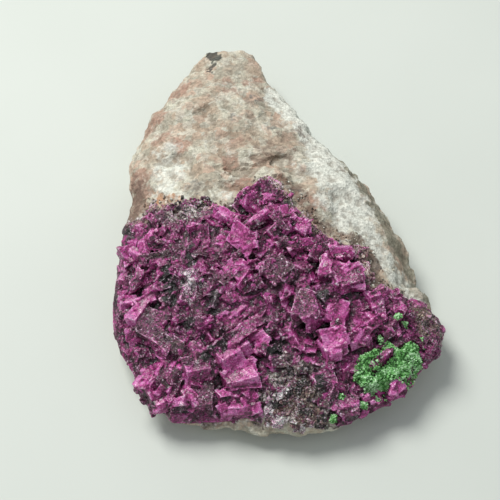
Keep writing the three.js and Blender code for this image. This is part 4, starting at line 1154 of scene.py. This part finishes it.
def aligned_steps(number):
    """Blocks that grew in step with the larger crystals, proud of their faces."""
    big = (facet_area > 1.2)[facet_of] & open_triangle & (unit_normals[:, 2] > 0)
    places, chosen = sample(crust_corners, crust_triangles, areas * big, number)
    facets = facet_of[chosen]
    normal = facet_normal[facets]
    turns = np.stack([facet_along[facets], facet_across[facets], normal], axis=1)
    sizes = between(number, (0.15, 0.6), (0.1, 0.35), (0.5, 0.8))
    sizes[:, :2] *= np.sqrt(np.minimum(facet_area[facets], 9.0))[:, None]
    middle = places + normal * (rng.uniform(0.03, 0.24, number) - sizes[:, 2] * 0.45)[:, None]
    tone = facet_tone[facets] + 0.12 * rng.normal(size=number)
    return middle, turns, sizes, tone, facet_dust[facets]


def leading_crystals():
    """The crystals that stand out, each one grown in three steps."""
    rows = np.repeat(LEADING, 3, axis=0)
    number = len(rows)
    later = np.tile((0.0, 1.0, 1.0), len(LEADING))
    x, y, top, heading, length, width, tilt, tone, dust = rows.T
    upright = np.tile((0.0, -0.12, 0.99), (number, 1))
    heading = np.radians(heading + 4 * later * rng.normal(size=number))
    tilt = np.radians(tilt + 5 * rng.normal(size=number))
    turns = frames_about(upright, heading, tilt, 0.08 * rng.normal(size=number))
    share = 0.85 - later * rng.uniform(0.15, 0.4, number)
    along = later * length * rng.uniform(-0.3, 0.3, number)
    across = later * width * rng.uniform(-0.35, 0.35, number)
    rise = 0.2 + later * rng.uniform(-0.25, 0.1, number)
    thick = 0.8 + 0.35 * width
    middle = np.stack([x, y, top + rise - thick / 2], axis=1)
    middle += turns[:, 0] * along[:, None] + turns[:, 1] * across[:, None]
    sizes = np.stack([length * share, width * np.sqrt(share), thick], axis=1)
    return middle, turns, sizes, np.minimum(tone, 0.8) + 0.03 * rng.normal(size=number), dust


def small_crystals(number, small, large, low=-0.38, high=-0.05):
    """Small crystals that fill the crust between the larger ones, lower and flatter on its walls."""
    quiet = 1 - 0.6 * bright_facet[facet_of] * (facet_area > 1.5)[facet_of]
    led = [(row[0], row[1], 0.3 * (row[4] + row[5]), 0.85) for row in LEADING]
    quiet = quiet * (1 - zone_mark(centres, led, 0.0))
    deep = 0.35 + depth_at(centres)
    level = 0.6 + 0.4 * (unit_normals[:, 2] > 0.3)
    level = level * (unit_normals[:, 2] > -0.45)
    weight = areas * open_triangle * quiet * deep * level
    places, chosen = sample(crust_corners, crust_triangles, weight, number)
    facets = facet_of[chosen]
    inner = off_rim(places, 0.3, 1.2) * (unit_normals[chosen, 2] > 0.3)
    lifted = np.array((0, 0, 0.6)) + 0.2 * rng.normal(size=(number, 3))
    normal = unit(unit_normals[chosen] + inner[:, None] * lifted)
    size = (small + (large - small) * rng.random(number) ** 1.8) * (0.75 + 0.25 * inner)
    lean = np.radians(rng.uniform(0, 42, number) * (0.35 + 0.65 * inner))
    heading = grown_headings(number)
    twist = np.radians(rng.uniform(-20, 20, number) * (0.3 + 0.7 * inner))
    turns = frames_about(normal, heading, lean, twist)
    sizes = between(number, (0, 0.8), (0.6, 0.95), (0.6, 1.0))
    sizes[:, 0] = 1 + smoothstep(0.1, 0.5, unit_normals[chosen, 2]) * sizes[:, 0]
    sizes = size[:, None] * sizes
    middle = places + normal * (size * (rng.uniform(low, high, number) - 0.12 * (1 - inner)))[:, None]
    clean = rng.random(number) ** 1.6
    patch = noise(middle, 1.9, 33)
    tone = np.clip(rng.normal(0.34, 0.08, number) + 0.34 * clean + 0.24 * patch, 0, 1)
    dust = 0.7 + 0.15 * rng.normal(size=number) - 0.7 * clean + 0.2 * dusty_facet[facets] - 0.3 * patch
    bright = bright_facet[facets]
    tone += bright * (0.68 + 0.1 * rng.normal(size=number) - tone)
    return middle, turns, sizes, tone, np.clip(dust, 0, 1) * (1 - 0.8 * bright)


# The crust's skin

# Relief of the crust's skin, each row (height, size, noise layer)
CRUST_RELIEF = ((0.07, 1.0, 11), (0.05, 0.5, 12))


def snapped(places, normals, edges, reach, hold=0.12):
    """Corners moved onto the faces, edges and points of the crystals that their neighbours lie on."""
    square = np.einsum("ni,nj->nij", normals, normals)
    level = normals * dot(normals, places)[:, None]
    total, right = square.copy(), level.copy()
    for one, other in ((0, 1), (1, 0)):
        np.add.at(total, edges[:, one], square[edges[:, other]])
        np.add.at(right, edges[:, one], level[edges[:, other]])
    found = np.linalg.solve(total + hold * np.eye(3), (right + hold * places)[:, :, None])[:, :, 0]
    near = np.linalg.norm(found - places, axis=1) < reach
    return np.where(near[:, None], found, places)


def hidden_corners(skin, triangles):
    """Corners of the crust's underside that lie against the rock."""
    return (corner_normals(skin, triangles)[:, 2] < -0.2) & (nearest(rock_tree, skin, 1.0)[0] < 0.5)


def crust_piece():
    """The crust: its large crystals, their stepped growth and the small crystals, grown into one skin."""
    facets = facet_tone, facet_dust, facet_centre, facet_normal, np.sqrt(facet_area)
    parts = [(crust_corners, crust_triangles, facet_of, *facets)]
    corner_count, crystal_count = len(crust_corners), facet_count
    grown = (
        (0.1, aligned_steps(STEP_COUNT)),
        (0.13, small_crystals(SMALL_COUNT, 0.6, 1.6)),
        (0.12, small_crystals(MIDDLING_COUNT, 1.3, 2.2, -0.4, -0.2)),
        (0.05, leading_crystals()),
    )
    for warp, crystals in grown:
        keep = clear_places(crystals[0])
        middle, turns, sizes, tone, dust = (values[keep] for values in crystals)
        made, faces = crystals_from(PLAIN, middle, turns, sizes, warp)
        owner = crystal_count + np.repeat(np.arange(len(middle)), len(PLAIN[1]))
        parts.append((made, faces + corner_count, owner, tone, dust, middle, turns[:, 2], sizes[:, 0]))
        corner_count += len(made)
        crystal_count += len(middle)
    joined = [np.concatenate(column) for column in zip(*parts)]
    corners, triangles, group, tones, dusts, middles, normals, spans = joined
    # Each crystal is painted lighter on one side and darker on the other, in a random direction: a painted
    # gradient of light and shade across its faces
    slopes = random_headings(normals) * (0.5 / np.maximum(spans, 0.4))[:, None]

    skin, quads = remeshed(corners, triangles, CRUST_VOXEL)
    skin, quads = thinned(skin, quads, hidden_corners(skin, quads))
    edges = neighbours(quads)
    _, places, under = nearest(tree_of(corners, triangles), skin, 1.0)
    flat = unit(face_normals(corners, triangles))[under]
    hidden = hidden_corners(skin, quads)[:, None]
    skin = np.where(hidden, skin, snapped(places, flat, edges, 0.62 * CRUST_VOXEL))
    skin = spread(skin, edges, rounds=1, share=0.25)
    away, nearby, _ = nearest(crust_tree, skin, 4.0)
    reach = 0.3 + 0.9 * off_rim(skin, 0.3, 1.5)
    skin = nearby + (skin - nearby) * np.minimum(1, reach / np.maximum(away, 1e-6))[:, None]

    owner = group[under]
    own_facet = owner < facet_count
    facet = np.where(own_facet, owner, 0)
    block = strips(skin, facet)
    upward = smoothstep(-0.5, 0.0, corner_normals(skin, quads)[:, 2])
    lift = 0.1 * (block - 0.4) * own_facet * np.minimum(1, np.sqrt(facet_area[facet]) / 2.5)
    skin = skin + facet_normal[facet] * (upward * lift)[:, None]
    rough = 0.7 + 0.4 * dusts[owner]
    relief = summed_noise(skin, CRUST_RELIEF) - 0.05 * np.abs(noise(skin, 0.9, 13))
    skin = skin + corner_normals(skin, quads) * (upward * rough * relief)[:, None]
    across = corner_normals(skin, quads)

    rise = dot(skin - spread(skin, edges, rounds=5, share=0.7), across)
    fresh = zone_mark(skin, FRESH, 0.4, 130)
    # Tone: each crystal's own, plus its painted gradient of light and shade
    tone = tones[owner] + dot(skin - middles[owner], slopes[owner]).clip(-0.3, 0.3)
    tone = tone + 0.18 * (block - 0.5) * own_facet + 0.16 * fresh - 0.09 * zone_mark(skin, DULL, 0.8, 140)
    marks = shared_marks(skin)
    marks.update(
        tone=spread(tone, edges, rounds=1, share=0.5),
        dust=dusts[owner] * (1 - 0.6 * fresh),
        # crest: painted light on the crests and painted shade in the hollows
        crest=np.clip(0.5 + rise / 0.22, 0, 1),
        # edge: where the skin stands out, for the painted edge highlights
        edge=smoothstep(0.03, 0.11, rise),
    )
    make_piece("calcite_crust_crystals", skin, quads, marks, CALCITE, ["calcite_crust"], smooth=30)
    return skin, across, marks


def crisp_crystals(number):
    """Small sharp crystals that stand in the skin of the crust."""
    crystals = small_crystals(number, 0.28, 0.85, -0.36, 0.04)
    keep = clear_places(crystals[0])
    middle, turns, sizes, tone, dust = (values[keep] for values in crystals)
    corners, faces = crystals_from(BEVELLED, middle, turns, sizes)
    count = len(middle)
    own = {"tone": tone + 0.05, "dust": dust, "edge": np.zeros(count)}
    own["crest"] = np.full(count, LOOSE_CREST)
    own = for_corners(BEVELLED, own)
    own.update(shared_marks(corners))
    own["depth"] = own["depth"] * 0.7
    make_piece("calcite_small_crystals", corners, faces, own, CALCITE)


def fine_crystals(skin, across, marks, number):
    """Fine crystals over the crust, most of them in its hollows."""
    weight = (across[:, 2] > 0.25) * (1.1 - marks["crest"]) * (0.15 + marks["dust"])
    weight = weight * off_rim(skin, 0.3, 1.0)
    chosen = rng.choice(len(skin), number, p=weight / weight.sum())
    normal = unit(across[chosen] + 0.35 * rng.normal(size=(number, 3)))
    size = 0.1 + 0.22 * rng.random(number) ** 2
    heading = grown_headings(number)
    lean, twist = np.radians(between(number, (0, 60), (-30, 30))).T
    turns = frames_about(normal, heading, lean, twist)
    sizes = size[:, None] * between(number, (1.0, 2.4), (0.5, 0.9), (0.7, 1.1))
    places = skin[chosen] + across[chosen] * (size * rng.uniform(-0.3, 0.1, number))[:, None]
    free = clear_places(places)
    corners, faces = crystals_from(PLAIN, places[free], turns[free], sizes[free])
    draw = rng.random(number)
    own = {name: values[chosen] for name, values in marks.items()}
    own["tone"] = np.clip(own["tone"] + 0.06 + 0.14 * rng.normal(size=number), 0, 1)
    own["dust"] = own["dust"] * 0.6
    own["crest"] = np.full(number, LOOSE_CREST)
    own["edge"] = np.zeros(number)
    own["soot"] = np.maximum(own["soot"], 0.9 * (draw < 0.06))
    # A few fine crystals are pale: painted glints
    own["pale"] = np.maximum(own["pale"] * (draw > 0.5), (draw > 0.975) * rng.uniform(0.3, 0.8, number))
    own = for_corners(PLAIN, {name: values[free] for name, values in own.items()})
    make_piece("calcite_fine_crystals", corners, faces, own, CALCITE)


crust_skin = crust_piece()
crisp_crystals(CRISP_COUNT)
fine_crystals(*crust_skin, FINE_COUNT)


# Crystals and grains on the rock round the crust

# How a triangle with one, two or three cut edges splits: 0 to 2 are its corners, 3 to 5 the cuts after them
SPLITS = {
    1: ((0, 3, 2), (3, 1, 2)),
    2: ((3, 1, 4), (0, 3, 4), (0, 4, 2)),
    3: ((0, 3, 5), (3, 1, 4), (5, 4, 2), (3, 4, 5)),
}

# Zones of the notch where most crystals are beige
BARE = [(3.0, -25.0, 1.8, 1), (4.2, -26.0, 1.8, 1), (1.6, -26.8, 1.6, 1)]

# Which draws from 0 to 1 give a loose grain its colour; the rest stay beige
GRAIN_DRAWS = {"black": (0, 0.15), "white": (0.15, 0.32), "brown": (0.32, 0.62), "grey": (0.62, 0.78)}


def refined(corners, triangles, limit, wanted):
    """Splits the wanted triangles' edges that are longer than the limit, with no open joints."""
    while True:
        sides = np.sort(np.stack([triangles, np.roll(triangles, -1, axis=1)], axis=2), axis=2)
        edges, place = np.unique(sides.reshape(-1, 2), axis=0, return_inverse=True)
        place = place.reshape(-1, 3)
        chosen = np.zeros(len(edges), bool)
        chosen[place[wanted].reshape(-1)] = True
        chosen &= np.linalg.norm(corners[edges[:, 0]] - corners[edges[:, 1]], axis=1) > limit
        if not chosen.any():
            return corners, triangles
        middle = np.full(len(edges), -1)
        middle[chosen] = len(corners) + np.arange(chosen.sum())
        corners = np.concatenate([corners, corners[edges[chosen]].sum(axis=1) / 2])
        split = middle[place]
        cuts = (split >= 0).sum(axis=1)
        made, kept = [triangles[cuts == 0]], [wanted[cuts == 0]]
        for number, pattern in SPLITS.items():
            rows = np.nonzero(cuts == number)[0]
            cut = split[rows] >= 0
            turn = (np.argmin(cut, axis=1) + 1) % 3 if number == 2 else np.argmax(cut, axis=1)
            index = (turn[:, None] + np.arange(3)) % 3
            both = [np.take_along_axis(values[rows], index, axis=1) for values in (triangles, split)]
            both = np.concatenate(both, axis=1)
            for triple in pattern:
                made.append(both[:, triple])
                kept.append(wanted[rows])
        triangles, wanted = np.concatenate(made), np.concatenate(kept)


def notch_crystals(number):
    """Coarse black, white and lilac crystals on the rock where the crust is broken away."""
    facing = surface(rock_corners, rock_triangles)[1][:, 2]
    corners, triangles = refined(rock_corners, rock_triangles, 0.8, facing > 0)
    size, normals, middle = surface(corners, triangles)
    inside = zone_mark(middle, STONE_STAINS["mottled"], 0.3) * (normals[:, 2] > 0.2)
    inside = inside * (nearest(crust_tree, middle, 1.0)[0] > GROOVE * 0.8)
    places, chosen = sample(corners, triangles, size * inside, number)
    behind = places[:, 1] > -10
    scale = (0.2 + 0.55 * rng.random(number) ** 1.5) * np.where(behind, 0.6, 1)
    normal = unit(normals[chosen] + 0.3 * rng.normal(size=(number, 3)))
    turns = frames_about(normal, *between(number, (0, 6.28), (0, 1.0), (-0.5, 0.5)).T)
    sizes = scale[:, None] * between(number, (0.9, 1.7), (0.6, 1.1), (0.7, 1.1))
    made, faces = crystals_from(BEVELLED, places, turns, sizes)
    draw = np.clip(0.5 + 0.8 * noise(places, 1.5, 90) + 0.13 * rng.normal(size=number), 0, 1)
    own = {"tone": rng.normal(0.42, 0.16, number), "dust": rng.uniform(0.4, 1, number)}
    own["crest"] = np.full(number, LOOSE_CREST)
    bare = zone_mark(places, BARE, 0.6, 150)
    own["soot"] = (draw < np.where(places[:, 1] < -24.5, 0.3, 0.4) - 0.14 * bare) * 1.2
    own["pale"] = (draw > 0.6 - 0.04 * bare) * rng.uniform(0.4, 1.0, number)
    own["pale"] = own["pale"] * np.where(behind, 0.3, 1 - 0.2 * bare)
    own["mottled"] = ((draw > 0.42) & (draw < 0.62)) * 0.9 * (1 - bare)
    earthy = noise(places, 1.4, 91) > np.where(places[:, 1] < -24.4, -0.5, 0.1)
    own["earth"] = np.maximum(earthy * np.where(draw > 0.62, 0.2, 1.0), bare * (draw > 0.2))
    own["depth"] = own["edge"] = np.zeros(number)
    make_piece("notch_crystals", made, faces, for_corners(BEVELLED, own), CALCITE)


def grains_piece(number):
    """Loose grains of the rock, soot and brown fines along the crust."""
    _, normals, middle = surface(rock_corners, rock_triangles)
    near_crust = nearest(crust_tree, middle, 6.0)[0] < 4.5
    corners, triangles = refined(rock_corners, rock_triangles, 1.0, (normals[:, 2] > 0) & near_crust)
    size, normals, middle = surface(corners, triangles)
    away = nearest(crust_tree, middle, 4.0)[0]
    stained = STONE_STAINS["grey"] + STONE_STAINS["mottled"] + STONE_STAINS["brown"]
    speckled = zone_mark(middle, stained, 0.4) * smoothstep(3.5, 1.5, away)
    weight = size * (normals[:, 2] > 0.15) * (away > GROOVE * 0.9)
    weight = weight * (0.012 * (away < 3.9) + 1.6 * smoothstep(1.6, 0.2, away) + 0.9 * speckled)
    weight = weight * (middle[:, 2] > 2.5) * smoothstep(-18.0, -16.5, middle[:, 0])
    places, chosen = sample(corners, triangles, weight, number)
    places = corners_cut(places)
    ball = BALL[0]
    sizes = (0.06 + 0.16 * rng.random(number) ** 2.5)[:, None] * rng.uniform(0.7, 1.3, (number, 3))
    turns = frames_about(normals[chosen], *between(number, (0, 6.28), (0, 3), (0, 3)).T)
    local = ball[None] * sizes[:, None, :] * rng.uniform(0.75, 1.25, (number, len(ball), 1))
    points = np.einsum("knd,kde->kne", local, turns) + (places + 0.04 * normals[chosen])[:, None, :]
    draw = rng.random(number)
    marks = {name: np.zeros(number) for name in (*STONE_STAINS, "depth")}
    for name, (low, high) in GRAIN_DRAWS.items():
        marks[name] = ((draw >= low) & (draw < high)) * 1.1
    every = faces_of(BALL, number)
    make_piece("rock_fringe_grains", points.reshape(-1, 3), every, for_corners(BALL, marks), STONE)


notch_crystals(NOTCH_COUNT)
grains_piece(GRAIN_COUNT)


# Malachite

# Outline of the main patch in plan
MOSS_OUTLINE = (
    (9.7, -20.2), (10.7, -19.9), (12.1, -18.9), (13.0, -18.1), (15.3, -18.4), (16.0, -17.4), (17.1, -18.0),
    (17.7, -18.4), (17.9, -20.0), (16.9, -21.8), (16.1, -22.8), (14.2, -22.2), (13.2, -23.1), (11.6, -23.3),
    (10.4, -23.7), (10.0, -22.8), (9.3, -22.0),
)
SLOT = ((12.6, -20.4), (15.4, -18.9), 0.45)  # the bare slot in the patch: its two ends and its half width
# Patches where the tufts are painted paler mint, as highlight
MINT = [(16.6, -20.4, 1.1, 0.25), (16.9, -19.4, 0.9, 0.2), (11.8, -23.6, 1.1, 0.35), (14.4, -21.9, 0.8, 0.15)]

# Relief of the lumps, each row (height, size, noise layer)
MOSS_RELIEF = ((0.32, 0.9, 21), (0.2, 0.45, 22))


def in_outline(points):
    """Which points lie inside the patch's outline, seen from above."""
    inside = np.zeros(len(points), bool)
    for (x1, y1), (x2, y2) in zip(MOSS_OUTLINE, MOSS_OUTLINE[1:] + MOSS_OUTLINE[:1]):
        crosses = (y1 > points[:, 1]) != (y2 > points[:, 1])
        inside ^= crosses & (points[:, 0] < (x2 - x1) * (points[:, 1] - y1) / (y2 - y1 or 1e-9) + x1)
    return inside


def moss_ground(number):
    """Places on the crust between the lumps of the main patch, where the moss creeps."""
    skin, across, _ = crust_skin
    start, end = np.array(SLOT[0]), np.array(SLOT[1])
    share = np.clip(((skin[:, :2] - start) @ (end - start)) / ((end - start) @ (end - start)), 0, 1)
    clear = np.linalg.norm(skin[:, :2] - start - share[:, None] * (end - start), axis=1) > SLOT[2]
    free = in_outline(bent_in_plan(skin, 0.25, 0.8, 95)) & clear & (across[:, 2] > 0.1)
    chosen = rng.choice(np.nonzero(free)[0], number)
    return skin[chosen] + rng.uniform(0, 0.25, (number, 1)) * across[chosen], across[chosen]


def moss(name, node, creeping=0):
    """A body of malachite: its lumps roughened and covered with small spiky tufts."""
    base, quads = remeshed(*solid_arrays(node), MOSS_VOXEL)
    edges = neighbours(quads)
    base = spread(base, edges, rounds=14, share=0.6)
    base = base + corner_normals(base, quads) * (0.02 + summed_noise(base, MOSS_RELIEF))[:, None]
    if creeping:
        outside = ~in_outline(bent_in_plan(base, 0.5, 0.9, 97))
        sunk = spread(outside.astype(float), edges, rounds=2)
        base = base - np.array((0, 0, 1.7)) * sunk[:, None]
    size, normals, _ = surface(base, quads)
    covered = size * (normals[:, 2] > -0.3)
    number = max(6, int(TUFTS_PER_MM2 * covered.sum()))
    places, chosen = sample(base, quads, covered, number)
    outward = normals[chosen]
    if creeping:
        ground, lean = moss_ground(creeping)
        places, outward = np.concatenate([places, ground]), np.concatenate([outward, lean])
        number += creeping
    ball = BALL[0]
    radius = 0.05 + 0.13 * rng.random(number) ** 1.8
    spikes = rng.random((number, len(ball), 1))
    local = ball[None] * (0.4 + 1.25 * spikes**1.7) * radius[:, None, None]
    points = local + (places + outward * (radius * rng.uniform(0, 1.2, number))[:, None])[:, None, :]
    # Painted light and shade: each tuft is lighter towards its top
    crest = np.clip((points[..., 2] - places[:, None, 2]) / radius[:, None] * 0.15 + 0.39, 0, 1)
    tip = np.clip(crest + 0.2 * (spikes[..., 0] - 0.5) + rng.normal(0, 0.08, (number, 1)), 0, 1)
    tip = tip + zone_mark(places, MINT, 0.4, 80)[:, None] + 0.1
    both = np.concatenate([base, points.reshape(-1, 3)])
    every = np.concatenate([quads, faces_of(BALL, number) + len(base)])
    # The lumps beneath the tufts are painted dark, as shade between them
    marks = {"tip": np.concatenate([np.full(len(base), 0.3), tip.reshape(-1)])}
    make_piece(name, both, every, marks, MALACHITE, [node])


moss("malachite_moss", "malachite_patch", CREEPING_COUNT)
for i in range(1, 10):
    moss(f"malachite_tuft_moss_{i}", f"malachite_tuft_{i}")


# Stage, in metres

TABLE_HALF = 2
WINDOW_PLACE = (-0.17, 0.17, 0.38)
WINDOW_AIM = (0, 0, 0.005)
WINDOW_SIZE = 0.22
WINDOW_POWER = 1.75
WINDOW_COLOUR = (1.0, 0.99, 0.96)
SKY_COLOUR = (0.93, 0.97, 1.0, 1)
SKY_STRENGTH = 0.42

floor = bpy.data.meshes.new("table")
floor_corners = [(x * TABLE_HALF, y * TABLE_HALF, 0) for x, y in ((-1, -1), (1, -1), (1, 1), (-1, 1))]
floor.from_pydata(floor_corners, [], [(0, 1, 2, 3)])
floor.materials.append(table_material())
table = linked("table", floor)

lamp = bpy.data.lights.new("window", "AREA")
lamp.shape = "DISK"
lamp.size = WINDOW_SIZE
lamp.energy = WINDOW_POWER
lamp.color = WINDOW_COLOUR
window = linked("window", lamp)
window.location = WINDOW_PLACE
window.rotation_euler = (Vector(WINDOW_AIM) - Vector(WINDOW_PLACE)).to_track_quat("-Z", "Y").to_euler()

world = bpy.data.worlds.new("studio")
world.use_nodes = True
background = world.node_tree.nodes["Background"]
background.inputs["Color"].default_value = SKY_COLOUR
background.inputs["Strength"].default_value = SKY_STRENGTH
bpy.context.scene.world = world

back = Vector((0, -math.cos(VIEW_ELEVATION), math.sin(VIEW_ELEVATION)))
camera = linked("camera", bpy.data.cameras.new("camera"))
camera.data.lens = LENS
camera.data.sensor_width = SENSOR
camera.data.clip_start = 0.01
camera.location = (Vector(AIM) + back * VIEW_DISTANCE) * MM
camera.rotation_euler = back.to_track_quat("Z", "Y").to_euler()
bpy.context.scene.camera = camera
bpy.context.scene.view_settings.view_transform = "Standard"
